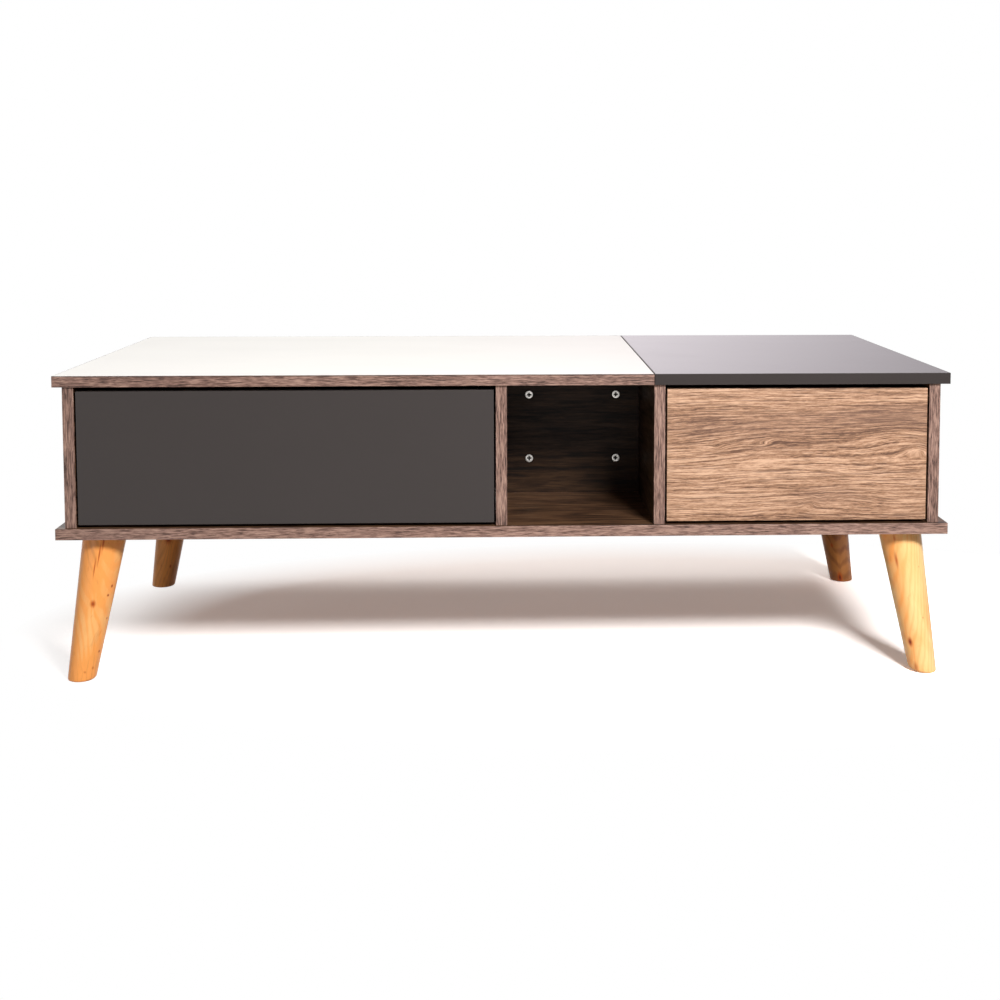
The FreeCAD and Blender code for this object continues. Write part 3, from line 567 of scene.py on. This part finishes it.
def front_figure(x, z):
    """Height of the grain line through each point of the oak front, in mm from its lower left corner.

    A line's height is the point's own height, less a slow rise to the right in the middle, plus gentle waves and
    tilted bells. A bell that is tall for its width closes the lines round an eye of the figure.
    """
    rise = 15 / (1 + np.exp(-(x - 90) / 34)) * np.exp(-(((z - 112) / 38) ** 2))
    waves = 0.6 * np.sin(x / 41 + z / 55) + 0.18 * np.sin(x / 15 - z / 23 + 1.3) + 0.06 * np.sin(x / 6.1 + z / 9)
    bells = (
        (67, 100, 12, 3.6, 0.2, 3.4), (124, 104, 15, 4.2, -0.1, 4.2), (150, 110, 22, 4, 0.1, -3.5),
        (342, 95, 19, 9, 0.15, -5), (318, 114, 52, 20, 0.0, -9),
        (194, 24, 13, 7, 0.6, -6), (205, 30, 7, 4.5, 0.3, 4), (160, 16, 50, 14, 0.0, -4), (245, 30, 40, 16, 0.0, -5),
        (40, 140, 60, 10, 0.0, -3), (262, 66, 30, 6, 0.2, 3), (60, 52, 34, 6, -0.2, 3),
    )
    height = np.array(z, float)
    for at_x, at_z, wide, tall, tilt, amount in bells:
        along = (x - at_x) / wide
        height += amount * np.exp(-(along**2) - ((z - at_z) / tall - tilt * along) ** 2)
    return height - rise + waves


def front_tone(x, z):
    """Broad light and dark zones of the oak front: bells added to an even ground, at mm from the lower left corner."""
    zones = (
        (90, 128, 130, 16, -0.22), (300, 142, 110, 15, -0.3), (140, 168, 190, 8, 0.18), (70, 70, 120, 22, 0.24),
        (230, 66, 110, 14, 0.16), (216, 36, 50, 14, -0.24), (60, 34, 90, 12, 0.26), (310, 24, 60, 22, -0.04),
        (335, 100, 26, 16, 0.2), (150, 98, 60, 8, -0.14), (40, 10, 120, 8, 0.02), (300, 60, 70, 16, 0.16),
    )
    return sum(
        height * np.exp(-(((x - at_x) / wide) ** 2) - ((z - at_z) / tall) ** 2)
        for at_x, at_z, wide, tall, height in zones
    )


def inner_points(low, high, step):
    """Even points between two ends and without them, a little less than a step apart."""
    return np.linspace(low, high, int((high - low) / step) + 2)[1:-1]


def front_board(low, high, ease, step):
    """A drawer front as a ring of points carried along x: the ring is a rounded rectangle that shrinks at both ends.

    The ring stands on the edges of the board less the ease, and adds the ease in the direction of each point.
    At the ends that direction leans out along x, from a quarter turn to none.
    """
    core_low, core_high = np.asarray(low) + ease, np.asarray(high) - ease
    arc = np.linspace(0, math.pi / 2, EDGE_POINTS)
    face_z = inner_points(core_low[2], core_high[2], step)
    corners = (
        (core_low[1], core_low[2], -math.pi / 2), (core_low[1], core_high[2], -math.pi),
        (core_high[1], core_high[2], math.pi / 2), (core_high[1], core_low[2], 0.0),
    )
    turns = [
        np.stack(np.broadcast_arrays(y, z, np.cos(start - arc), np.sin(start - arc)), axis=1)
        for y, z, start in corners
    ]
    face = np.stack(np.broadcast_arrays(core_low[1], face_z, -1.0, 0.0), axis=1)
    ring = np.concatenate([turns[0], face, *turns[1:]])
    inner_x = inner_points(core_low[0], core_high[0], step)
    at_x = np.concatenate([core_low[0] - ease * np.cos(arc), inner_x, core_high[0] + ease * np.sin(arc)])
    reach = np.concatenate([np.sin(arc), np.ones(len(inner_x)), np.cos(arc)]) * ease
    points = np.empty((len(at_x), len(ring), 3))
    points[..., 0] = at_x[:, None]
    points[..., 1:] = ring[None, :, :2] + reach[:, None, None] * ring[None, :, 2:]
    return closed_tube(points)


# Points round a cam, the width of its recess's lip in metres, the round middle of the recess as a share of half an
# arm's width, and what keeps a division from zero
CAM_COLUMNS = 64
CAM_LIP = 0.00014
CAM_WEB = 1.35
TINY = 1e-9


def cam_disc(middle, axis, outward, radius, tall, sizes):
    """A cam disc as rings round its axis: a cross recess, the face, an eased rim, the side and the back.

    The recess follows the outline of a cross: at each turn, the farther of its two arms' edges. Inner rings are
    shares of that outline and lie deep, and outer rings blend from it to the round rim. The faces of the recess
    are told apart, for their duller and much darker metal, which paints the shade in the recess.
    """
    turn = np.arange(CAM_COLUMNS) / CAM_COLUMNS * 2 * math.pi + math.pi / CAM_COLUMNS
    along, over = np.abs(np.cos(turn)) + TINY, np.abs(np.sin(turn)) + TINY
    arm, half = sizes.cam_recess_reach, sizes.cam_recess_width / 2
    cross = np.maximum(np.minimum(arm / along, half / over), np.minimum(half / along, arm / over))
    cross = np.maximum(cross, half * CAM_WEB)
    ease, deep = sizes.cam_ease, sizes.cam_recess_depth
    recess = [
        (0 * cross, -1.35 * deep), (0.3 * cross, -1.2 * deep), (0.8 * cross, -deep), (0.93 * cross, -0.9 * deep),
    ]
    face_rings = [(cross, -0.12 * deep), (cross + CAM_LIP, 0.0), (0.4 * cross + 0.6 * (radius - ease), 0.0)]
    rim = [
        (np.full_like(turn, radius - ease + ease * math.sin(bend)), ease * (math.cos(bend) - 1))
        for bend in np.linspace(0, math.pi / 2, EDGE_POINTS)
    ]
    back = [(np.full_like(turn, radius), ease - tall), (np.full_like(turn, radius - ease), -tall), (0 * turn, -tall)]
    rings = recess + face_rings + rim + back
    out = np.zeros(3)
    out[axis] = outward
    first, second = np.roll(np.eye(3), -axis - 1, axis=0)[:2]
    radial = np.cos(turn)[:, None] * first + np.sin(turn)[:, None] * second
    face = middle + out * tall / 2
    points = np.stack([face + reach[:, None] * radial + level * out for reach, level in rings])
    # Faces of the recess, which take a duller metal so dark that it paints the shade in the recess
    dull = np.arange((len(rings) - 1) * len(turn)) < len(recess) * len(turn)
    return points.reshape(-1, 3), grid_faces(len(rings), len(turn)).tolist(), dull


# Rings of a foot's rounded edge, then how far a knot pushes the grain aside and how far that reaches along and round
# the leg, in sizes of the knot
FOOT_RINGS = 10
KNOT_PUSH, PUSH_ALONG, PUSH_ROUND = 2.2, 7, 4


def leg_surface(side, end, sizes, knots, heart, pith, worn):
    """A splayed turned leg as level rings, with its own grain frame, its knots and its heartwood.

    The leg is a cone about a leaning axis. The ring at each height is where that cone meets the level plane:
    the step along the axis that brings each side of the cone to the height. Near the floor the ring shrinks by
    a quarter circle, which is wider by the wear on the side that faces the middle of the table. Grain lines bend
    round a knot by a push away from its middle. The growth rings are the distance from a pith line that leans
    against the leg. The heartwood is a bell round the leg that halves on its way down, plus a share that grows with
    the square of that way.
    """
    half = (CAD_BOX[1] - CAD_BOX[0]) / 2
    head = np.array([side * (half[0] - sizes.leg_inset_x), end * (half[1] - sizes.leg_inset_y), sizes.leg_height])
    lean = np.array([side * sizes.leg_splay_x, end * sizes.leg_splay_y, -sizes.leg_height])
    slant = np.linalg.norm(lean)
    axis = lean / slant
    first = np.cross(axis, [0, 1, 0])
    first /= np.linalg.norm(first)
    second = np.cross(axis, first)
    angle = np.linspace(0, 2 * math.pi, sizes.leg_columns, endpoint=False)
    outward = np.cos(angle)[:, None] * first + np.sin(angle)[:, None] * second
    rounding = sizes.foot_round * (1 + worn * ((1 - side * outward[:, 0]) / 2) ** 3)
    low = rounding.max() * (1 - np.cos(np.linspace(0, math.pi / 2, FOOT_RINGS)))
    heights = np.concatenate([low, np.linspace(rounding.max(), sizes.leg_height, sizes.leg_rows)[1:]])
    gap = np.clip(rounding - heights[:, None], 0, None)
    inset = rounding - np.sqrt(rounding**2 - gap**2)
    taper = (sizes.leg_foot_radius - sizes.leg_top_radius) / slant
    tilt = outward[None, :, 2]
    along = (heights[:, None] - head[2] - sizes.leg_top_radius * tilt) / (axis[2] + taper * tilt)
    radius = sizes.leg_top_radius + taper * along
    points = head + along[..., None] * axis + radius[..., None] * outward[None]
    middle = points.mean(axis=1, keepdims=True)
    flat = np.linalg.norm(points - middle, axis=-1, keepdims=True)
    points = middle + (points - middle) * (1 - inset[..., None] / flat)
    around = angle[None, :] * np.ones_like(along)
    grain = np.stack([along, radius * np.cos(around), radius * np.sin(around)], axis=-1)
    depth = np.zeros_like(along)
    for share, degrees, size, dark, stretch in knots:
        away_along = along - share * slant
        away_round = ((around - math.radians(degrees) + math.pi) % (2 * math.pi) - math.pi) * radius
        far = np.hypot(away_along / stretch, away_round)
        depth = np.maximum(depth, dark * np.exp(-((far / size) ** 2)))
        near = np.exp(-((away_along / (size * PUSH_ALONG)) ** 2) - (away_round / (size * PUSH_ROUND)) ** 2)
        push = KNOT_PUSH * size * near
        turned = around + np.sign(away_round) * push / radius * np.abs(np.tanh(away_round / size))
        grain[..., 1] += radius * (np.cos(turned) - np.cos(around))
        grain[..., 2] += radius * (np.sin(turned) - np.sin(around))
    ring = np.hypot(grain[..., 1] - pith[0] - pith[2] * along, grain[..., 2] - pith[1] - pith[3] * along)
    grain += np.array([3.1 * side, 1.7 * end, 0.9 * side * end])
    low, high, at, wide, foot = heart
    turn = (around - math.radians(at) + math.pi) % (2 * math.pi) - math.pi
    down = along / slant
    amount = low + (high - low) * np.exp(-((turn / math.radians(wide)) ** 2)) * (1 - 0.5 * down) + foot * down**2
    attributes = {"grain": grain.reshape(-1, 3), "knot": depth.ravel(), "heart": amount.ravel(), "ring": ring.ravel()}
    return *closed_tube(points), attributes


# Each leg: the sides of the table that it stands on in x and y, then its knots, heartwood, pith and wear.
# Knots: share of the way down, degrees round the leg, size in metres, darkness, stretch along the grain.
# Heartwood: its amount on the pale side and on the dark side, the dark side's degrees, its width in degrees, and
# how much more of it there is at the foot. On the back legs the amounts run high into the deep heartwood colour, as
# painted shade that darkens those legs.
# Pith: where it starts across the leg in metres, and how far it leans per metre. Wear: how much wider the foot's
# rounded edge is on its inner side.
LEGS = {
    "front_left": (
        -1, -1,
        [(0.338, 27, 0.0017, 1.0, 1.2), (0.4, 36, 0.0016, 1.0, 1.0), (0.462, 81, 0.0032, 0.85, 1.4),
         (0.562, 18, 0.0014, 0.9, 1.0), (0.788, 24, 0.0015, 0.9, 1.2), (0.03, 79, 0.0012, 0.85, 12.0),
         (0.12, 85, 0.0009, 0.85, 16.0), (0.22, 93, 0.0008, 0.8, 16.0), (0.93, 70, 0.0016, 0.45, 1.0),
         (0.9, 40, 0.0015, 0.55, 1.4)],
        (0.64, 1.1, 120, 50, 0.4), (-0.012, -0.012, 0.02, 0.14), 1.0,
    ),
    "front_right": (
        1, -1,
        [(0.775, 132, 0.003, 1.0, 1.9), (0.2, 126, 0.0022, 0.62, 5.0), (0.05, 120, 0.0018, 0.5, 3.0),
         (0.62, 70, 0.0009, 0.6, 1.2), (0.95, 128, 0.003, 0.5, 2.2), (0.27, 60, 0.001, 0.4, 1.2)],
        (0.0, 1.2, 143, 36, 0.4), (0.03, -0.012, -0.05, 0.06), 3.0,
    ),
    # Heartwood amounts raised into the deep heartwood colour: painted shade on this back leg
    "back_left": (
        -1, 1,
        [(0.56, 86, 0.006, 1.0, 1.4), (0.8, 60, 0.0018, 0.6, 2.0)],
        (1.3, 1.5, 90, 90, 0.0), (0.01, -0.02, 0.03, 0.1), 0.5,
    ),
    # Heartwood amounts raised far into the deep heartwood colour: painted shade on this back leg
    "back_right": (
        1, 1,
        [(0.95, 105, 0.0036, 1.0, 2.4), (0.66, 120, 0.002, 0.6, 2.0)],
        (2.05, 2.3, 60, 90, 0.0), (-0.01, -0.02, 0.05, 0.1), 0.5,
    ),
}


# Operators


class TableOperator(bpy.types.Operator):
    """One group of pieces of the table."""

    bl_options = {"REGISTER"}

    def settings(self, context):
        """The sizes, colours and studio of the scene."""
        scene = context.scene
        return scene.table_sizes, scene.table_colours, scene.table_studio


class TABLE_OT_tops(TableOperator):
    """Finish the white and the anthracite top board"""

    bl_idname = "table.tops"
    bl_label = "Tops"

    def execute(self, context):
        _, colours, _ = self.settings(context)
        dress(laminate("white_satin", colours.white, 0.3, 0.5, marks=0.01), "top_panel_white")
        dress(anthracite(colours, "top", 0.13, specular=0.5, IOR=1.65), "top_panel_grey")
        return {"FINISHED"}


# How much wider the boards' pattern is than the bands', and the colour of the niche's walls as a share of the boards':
# this darker foil paints the shade inside the niche
BOARD_PATTERN = 4.0
NICHE_PAINTED_SHADE = 0.27


class TABLE_OT_boards(TableOperator):
    """Finish the brown boards with the grain along each one's length, and paint the niche's shade in a darker foil"""

    bl_idname = "table.boards"
    bl_label = "Boards"

    def execute(self, context):
        _, colours, _ = self.settings(context)
        shades = (colours.board_dark, colours.board_middle, colours.board_light)
        foil = foils("board_foil", *shades, size=BOARD_PATTERN)
        dress(foil["x"], "bottom_panel", "back_panel_left", "back_panel_right")
        dress(foil["y"], "side_panel_left", "side_panel_right")
        # The niche's walls take the board foil at a small share of its colour: painted shade inside the niche
        deep = [toned(shade, NICHE_PAINTED_SHADE) for shade in shades]
        dress(wood_foil("niche_foil", "x", *deep, size=BOARD_PATTERN, gloss=0.15), "niche_partition")
        dress(wood_foil("niche_foil", "y", *deep, size=BOARD_PATTERN, gloss=0.15), "divider_left", "divider_right")
        hardboard = fibre_board("hardboard_pressed", colours.hardboard)
        for bay in ("left", "right"):
            dress(foil["y"], f"{bay}_drawer_side_left", f"{bay}_drawer_side_right")
            dress(foil["x"], f"{bay}_drawer_back")
            dress(hardboard, f"{bay}_drawer_bottom")
        return {"FINISHED"}


class TABLE_OT_edge_bands(TableOperator):
    """Lay the edge bands with their eased edges"""

    bl_idname = "table.edge_bands"
    bl_label = "Edge bands"

    def execute(self, context):
        sizes, colours, _ = self.settings(context)
        foil = foils("band_foil", colours.band_dark, colours.band_middle, colours.band_light, rim=CAD_BOX[1][2])
        sets = {
            "top_panel_white_edge_bands": ("white_top_bands", "brown_foil", foil),
            "top_panel_grey_edge_bands": ("grey_top_bands", "anthracite_laminate", None),
            "carcass_edge_bands": ("carcass_bands", "brown_foil", foil),
        }
        for node, (name, slot, brown) in sets.items():
            boxes = [corners_of(points) for points in loose_parts(NODES[node])]
            blocks = [eased_block(low, high, sizes.band_ease) for low, high in boxes]
            points, faces, owners = joined(blocks)
            longest = np.array([np.argmax(high - low) for low, high in boxes])
            materials = list(brown.values()) if brown else [anthracite(colours, "band", 0.38, specular=0.14)]
            indices = longest[owners] if brown else None
            make_piece(name, points, faces, materials, "carcass", [node], indices)
        return {"FINISHED"}


class TABLE_OT_drawer_fronts(TableOperator):
    """Make the anthracite front and the oak front, with the figure of its grain"""

    bl_idname = "table.drawer_fronts"
    bl_label = "Drawer fronts"

    def execute(self, context):
        sizes, colours, _ = self.settings(context)
        low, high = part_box("left_drawer_front")
        points, faces = eased_block(low, high, sizes.front_ease)
        materials = [anthracite(colours, "front", 0.34, specular=0.3)]
        make_piece(
            "left_front", points, faces, materials, "left_drawer", ["left_drawer_front"]
        )
        low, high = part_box("right_drawer_front")
        points, faces = front_board(low, high, sizes.front_ease, sizes.front_step)
        x, z = (points[:, 0] - low[0]) / MM, (points[:, 2] - low[2]) / MM
        grain = np.stack([points[:, 0], points[:, 1], front_figure(x, z) * MM], axis=1)
        attributes = {"grain": grain, "tone": front_tone(x, z)}
        make_piece(
            "right_front", points, faces, [oak_foil(colours)], "right_drawer", ["right_drawer_front"],
            attributes=attributes,
        )
        return {"FINISHED"}


class TABLE_OT_legs(TableOperator):
    """Turn the four splayed legs, with their knots and rounded feet"""

    bl_idname = "table.legs"
    bl_label = "Legs"

    def execute(self, context):
        sizes, colours, _ = self.settings(context)
        wood = pine(colours)
        for name, (side, end, *figure) in LEGS.items():
            points, faces, attributes = leg_surface(side, end, sizes, *figure)
            make_piece(
                f"leg_turned_{name}", points, faces, [wood], "carcass", [f"leg_{name}"], attributes=attributes
            )
        return {"FINISHED"}


# How near to the end of a cam a point is to count as on its face: the face with more points has the slots
FACE_REACH = 0.0001


class TABLE_OT_cam_locks(TableOperator):
    """Cast the cam locks, each with a cross recess in its face"""

    bl_idname = "table.cam_locks"
    bl_label = "Cam locks"

    def execute(self, context):
        sizes, colours, _ = self.settings(context)
        zinc = metal("zinc_cast", colours.zinc, 0.3, 700.0)
        # A dull zinc far darker than the zinc: painted shade in the cross recess
        shaded_recess_zinc = coat("zinc_dull", toned(colours.zinc, 0.12), 0.6, 0.0005, 0.00002)
        for body in ("carcass", "left_drawer", "right_drawer"):
            discs, dull = [], []
            for points in loose_parts(NODES[f"{body}_cam_locks"]):
                low, high = corners_of(points)
                axis = int(np.argmin(high - low))
                at_low, at_high = (np.abs(points[:, axis] - end[axis]) < FACE_REACH for end in (low, high))
                outward = 1 if at_high.sum() > at_low.sum() else -1
                radius, tall = np.delete(high - low, axis).max() / 2, (high - low)[axis]
                disc_points, disc_faces, disc_shaded_recess = cam_disc((low + high) / 2, axis, outward, radius, tall, sizes)
                discs.append((disc_points, disc_faces))
                dull.append(disc_shaded_recess)
            points, faces, _ = joined(discs)
            make_piece(
                f"{body}_cams", points, faces, [zinc, shaded_recess_zinc], body, [f"{body}_cam_locks"],
                np.concatenate(dull),
            )
        dress(zinc, "leg_inserts")
        return {"FINISHED"}


class TABLE_OT_fittings(TableOperator):
    """Finish the bolts, screws, dowels and runners"""

    bl_idname = "table.fittings"
    bl_label = "Fittings"

    def execute(self, context):
        _, colours, _ = self.settings(context)
        steel = metal("steel_plated", colours.steel, 0.3)
        rail = coat("rail_coat", colours.rail, 0.4, 0.0012, 0.00003)
        soft = {"Subsurface_Weight": 0.15, "Subsurface_Scale": 0.002}
        nylon = coat("nylon_moulded", colours.nylon, 0.42, 0.0006, 0.00002, **soft)
        dress(steel, "carcass_cam_bolts", "carcass_screws", "bay_rail_screws", "leg_bolts")
        dress(fibre_board("beech_dowel", colours.beech, stretch=10.0), "carcass_dowels")
        for bay in ("left", "right"):
            dress(steel, *(f"{bay}_drawer_{kind}" for kind in ("cam_bolts", "back_screws", "rail_screws")))
            for side in ("left", "right"):
                dress(rail, f"{bay}_drawer_rail_{side}", f"{bay}_bay_rail_{side}")
                dress(nylon, f"{bay}_drawer_roller_{side}", f"{bay}_bay_roller_{side}")
        return {"FINISHED"}


# Tint of the light that the floor and the sky throw on the table
WARM = (1.0, 0.86, 0.72)
# Faint tint of the backdrop that shiny faces see on the right
ROSE = (1.0, 0.925, 0.975)
WHITE = (1.0, 1.0, 1.0)
# That backdrop's light: a range of the ray's direction in x, or in y, and the light at its two ends. Then the range in
# x over which the backdrop turns rose.
LIGHT_ACROSS = (0.06, 0.3, 1.28, 0.55)
LIGHT_DEEP = (-0.3, 0.4, 0.5, 1.0)
TURNS_ROSE = (-0.04, 0.08)
# Colour that the floor glows with where it is seen
GLOW_TINT = (1.0, 0.84, 0.79)
# Camera: the sensor's width in mm, and the nearest and farthest that it sees in metres
SENSOR_WIDTH = 36
CLIP_START, CLIP_END = 0.05, 60
# Softboxes: spot, aim and size in metres, and the setting that holds their power
SOFTBOXES = {
    "key_softbox": ((0.8, -2.2, 1.57), (0.05, -0.2, 0.25), (0.6, 0.45), "key_power"),
    "top_softbox": ((-0.3, 0.5, 2.3), (0, 0.1, 0.3), (2.0, 1.2), "top_power"),
    "fill_softbox": ((-2.2, -2.0, 0.25), (-0.2, -0.2, 0.1), (0.8, 0.4), "fill_power"),
}
# Floor: half its width, where its fade to white is centred and how far it spreads in x and y, in metres, and the
# shares of that spread at which the fade starts and ends
FLOOR_REACH = 20.0
FADE_CENTRE_X = 0.25
FADE_SPREAD = (1.15, 0.66)
FADE_START, FADE_END = 0.64, 0.87
# How much of the brighter floor glossy rays see, the floor's lift and glow where it is seen, and the share of its
# colour that lights the table
MIRRORED, LIFT, GLOW, BOUNCE = 0.8, 1.4, 0.2, 0.4


class TABLE_OT_studio(TableOperator):
    """Lay the floor, hang the softboxes and stand the camera"""

    bl_idname = "table.studio"
    bl_label = "Studio"

    def execute(self, context):
        _, _, studio = self.settings(context)
        scene = context.scene
        self.floor(studio)
        self.world(scene, studio)
        for name, (spot, aim, size, power) in SOFTBOXES.items():
            self.softbox(name, spot, aim, size, getattr(studio, power))
        shot = bpy.data.cameras.new("camera")
        shot.sensor_width, shot.lens = SENSOR_WIDTH, studio.lens
        shot.shift_x, shot.shift_y = studio.shift_x, studio.shift_y
        shot.clip_start, shot.clip_end = CLIP_START, CLIP_END
        camera = placed("camera", shot)
        pitch, roll, yaw = studio.turn
        turn = Matrix.Rotation(yaw, 4, "Z") @ Matrix.Rotation(pitch, 4, "X") @ Matrix.Rotation(roll, 4, "Y")
        camera.matrix_world = Matrix.Translation(studio.camera) @ turn @ Matrix.Rotation(math.pi / 2, 4, "X")
        scene.camera = camera
        scene.view_settings.view_transform = "Standard"
        return {"FINISHED"}

    def floor(self, studio):
        """A wide pale floor that camera and glossy rays see brighter, and fade to white away from the table.

        Rays that only light the table meet a darker, warmer floor.
        """
        mesh = bpy.data.meshes.new("floor")
        corners = [(x * FLOOR_REACH, y * FLOOR_REACH, 0) for x, y in ((-1, -1), (1, -1), (1, 1), (-1, 1))]
        mesh.from_pydata(corners, [], [(0, 1, 2, 3)])
        floor = placed("floor", mesh)
        work = Finish("floor", 0.9, Specular_IOR_Level=0.1, Emission_Color=(*GLOW_TINT, 1.0))
        path = work.add("LightPath")
        mirrored = work.maths("MULTIPLY", path.outputs["Is Glossy Ray"], MIRRORED)
        seen = work.maths("MAXIMUM", path.outputs["Is Camera Ray"], mirrored)
        pale = studio.floor
        work.paint(work.blend(seen, tuple(BOUNCE * part * tint for part, tint in zip(pale, WARM)), pale))
        work.tree.links.new(work.maths("MULTIPLY", seen, GLOW), work.shader.inputs["Emission Strength"])
        lift = work.add("BsdfDiffuse", {"Color": work.blend(seen, (0.0, 0.0, 0.0), toned(pale, LIFT))})
        lifted = work.add("AddShader", {0: work.shader.outputs[0], 1: lift.outputs[0]}).outputs[0]
        away = work.place((1 / FADE_SPREAD[0], 1 / FADE_SPREAD[1], 0), shift=(-FADE_CENTRE_X, 0, 0))
        reach = work.add("VectorMath", {0: away}, operation="LENGTH").outputs["Value"]
        share = work.maths("MULTIPLY", work.level(reach, FADE_START, FADE_END), seen)
        white = work.add("Emission", {"Color": (*WHITE, 1.0), "Strength": 1.0}).outputs[0]
        mixed = work.add("MixShader", {0: share, 1: lifted, 2: white})
        work.tree.links.new(mixed.outputs[0], work.tree.nodes["Material Output"].inputs["Surface"])
        mesh.materials.append(work.material)

    def world(self, scene, studio):
        """White to the camera, a pale backdrop to glossy rays, and a soft warm sky to the rest.

        The backdrop dims to the right and in front, and is faintly rose on the right.
        """
        world = bpy.data.worlds.new("studio")
        scene.world = world
        world.use_nodes = True
        work = NodeGraph(world.node_tree)
        way = work.add("SeparateXYZ", {0: work.add("TexCoord").outputs["Generated"]}).outputs
        path = work.add("LightPath").outputs
        backdrop = work.maths("MULTIPLY", work.level(way["X"], *LIGHT_ACROSS), work.level(way["Y"], *LIGHT_DEEP))
        shiny = work.maths("MAXIMUM", path["Is Glossy Ray"], path["Is Transmission Ray"])
        soft = work.add("Mix", {0: shiny, 2: studio.sky, 3: backdrop}).outputs[0]
        strength = work.add("Mix", {0: path["Is Camera Ray"], 2: soft, 3: 1.0}).outputs[0]
        shade = work.blend(work.maths("ADD", path["Is Camera Ray"], shiny), WARM, WHITE)
        right = work.maths("MULTIPLY", path["Is Glossy Ray"], work.level(way["X"], *TURNS_ROSE))
        background = work.tree.nodes["Background"]
        work.tree.links.new(work.blend(right, shade, ROSE), background.inputs["Color"])
        work.tree.links.new(strength, background.inputs["Strength"])

    def softbox(self, name, spot, aim, size, power):
        """An oblong lamp at a spot, turned to its aim."""
        lamp = bpy.data.lights.new(name, "AREA")
        lamp.shape = "RECTANGLE"
        lamp.size, lamp.size_y = size
        lamp.energy = power
        held = placed(name, lamp)
        way = Vector(spot) - Vector(aim)
        held.matrix_world = Matrix.Translation(spot) @ way.to_track_quat("Z", "Y").to_matrix().to_4x4()


class TABLE_PT_pieces(bpy.types.Panel):
    """Buttons for the pieces of the table"""

    bl_idname = "TABLE_PT_pieces"
    bl_label = "Coffee table"
    bl_space_type = "VIEW_3D"
    bl_region_type = "UI"
    bl_category = "Table"

    def draw(self, context):
        for operator in OPERATORS:
            self.layout.operator(operator.bl_idname)


OPERATORS = (
    TABLE_OT_studio,
    TABLE_OT_tops,
    TABLE_OT_boards,
    TABLE_OT_edge_bands,
    TABLE_OT_drawer_fronts,
    TABLE_OT_legs,
    TABLE_OT_cam_locks,
    TABLE_OT_fittings,
)
CLASSES = (TableSizes, TableColours, TableStudio, *OPERATORS, TABLE_PT_pieces)


def register():
    """Register the classes and hang the settings on the scene."""
    for kind in CLASSES:
        bpy.utils.register_class(kind)
    bpy.types.Scene.table_sizes = PointerProperty(type=TableSizes)
    bpy.types.Scene.table_colours = PointerProperty(type=TableColours)
    bpy.types.Scene.table_studio = PointerProperty(type=TableStudio)


def unregister():
    """Take the settings off the scene and unregister the classes."""
    for name in ("table_studio", "table_colours", "table_sizes"):
        delattr(bpy.types.Scene, name)
    for kind in reversed(CLASSES):
        bpy.utils.unregister_class(kind)


def main():
    """Register the classes and make every piece in order."""
    register()
    bpy.ops.table.studio()
    bpy.ops.table.tops()
    bpy.ops.table.boards()
    bpy.ops.table.edge_bands()
    bpy.ops.table.drawer_fronts()
    bpy.ops.table.legs()
    bpy.ops.table.cam_locks()
    bpy.ops.table.fittings()


if __name__ == "__main__":
    main()
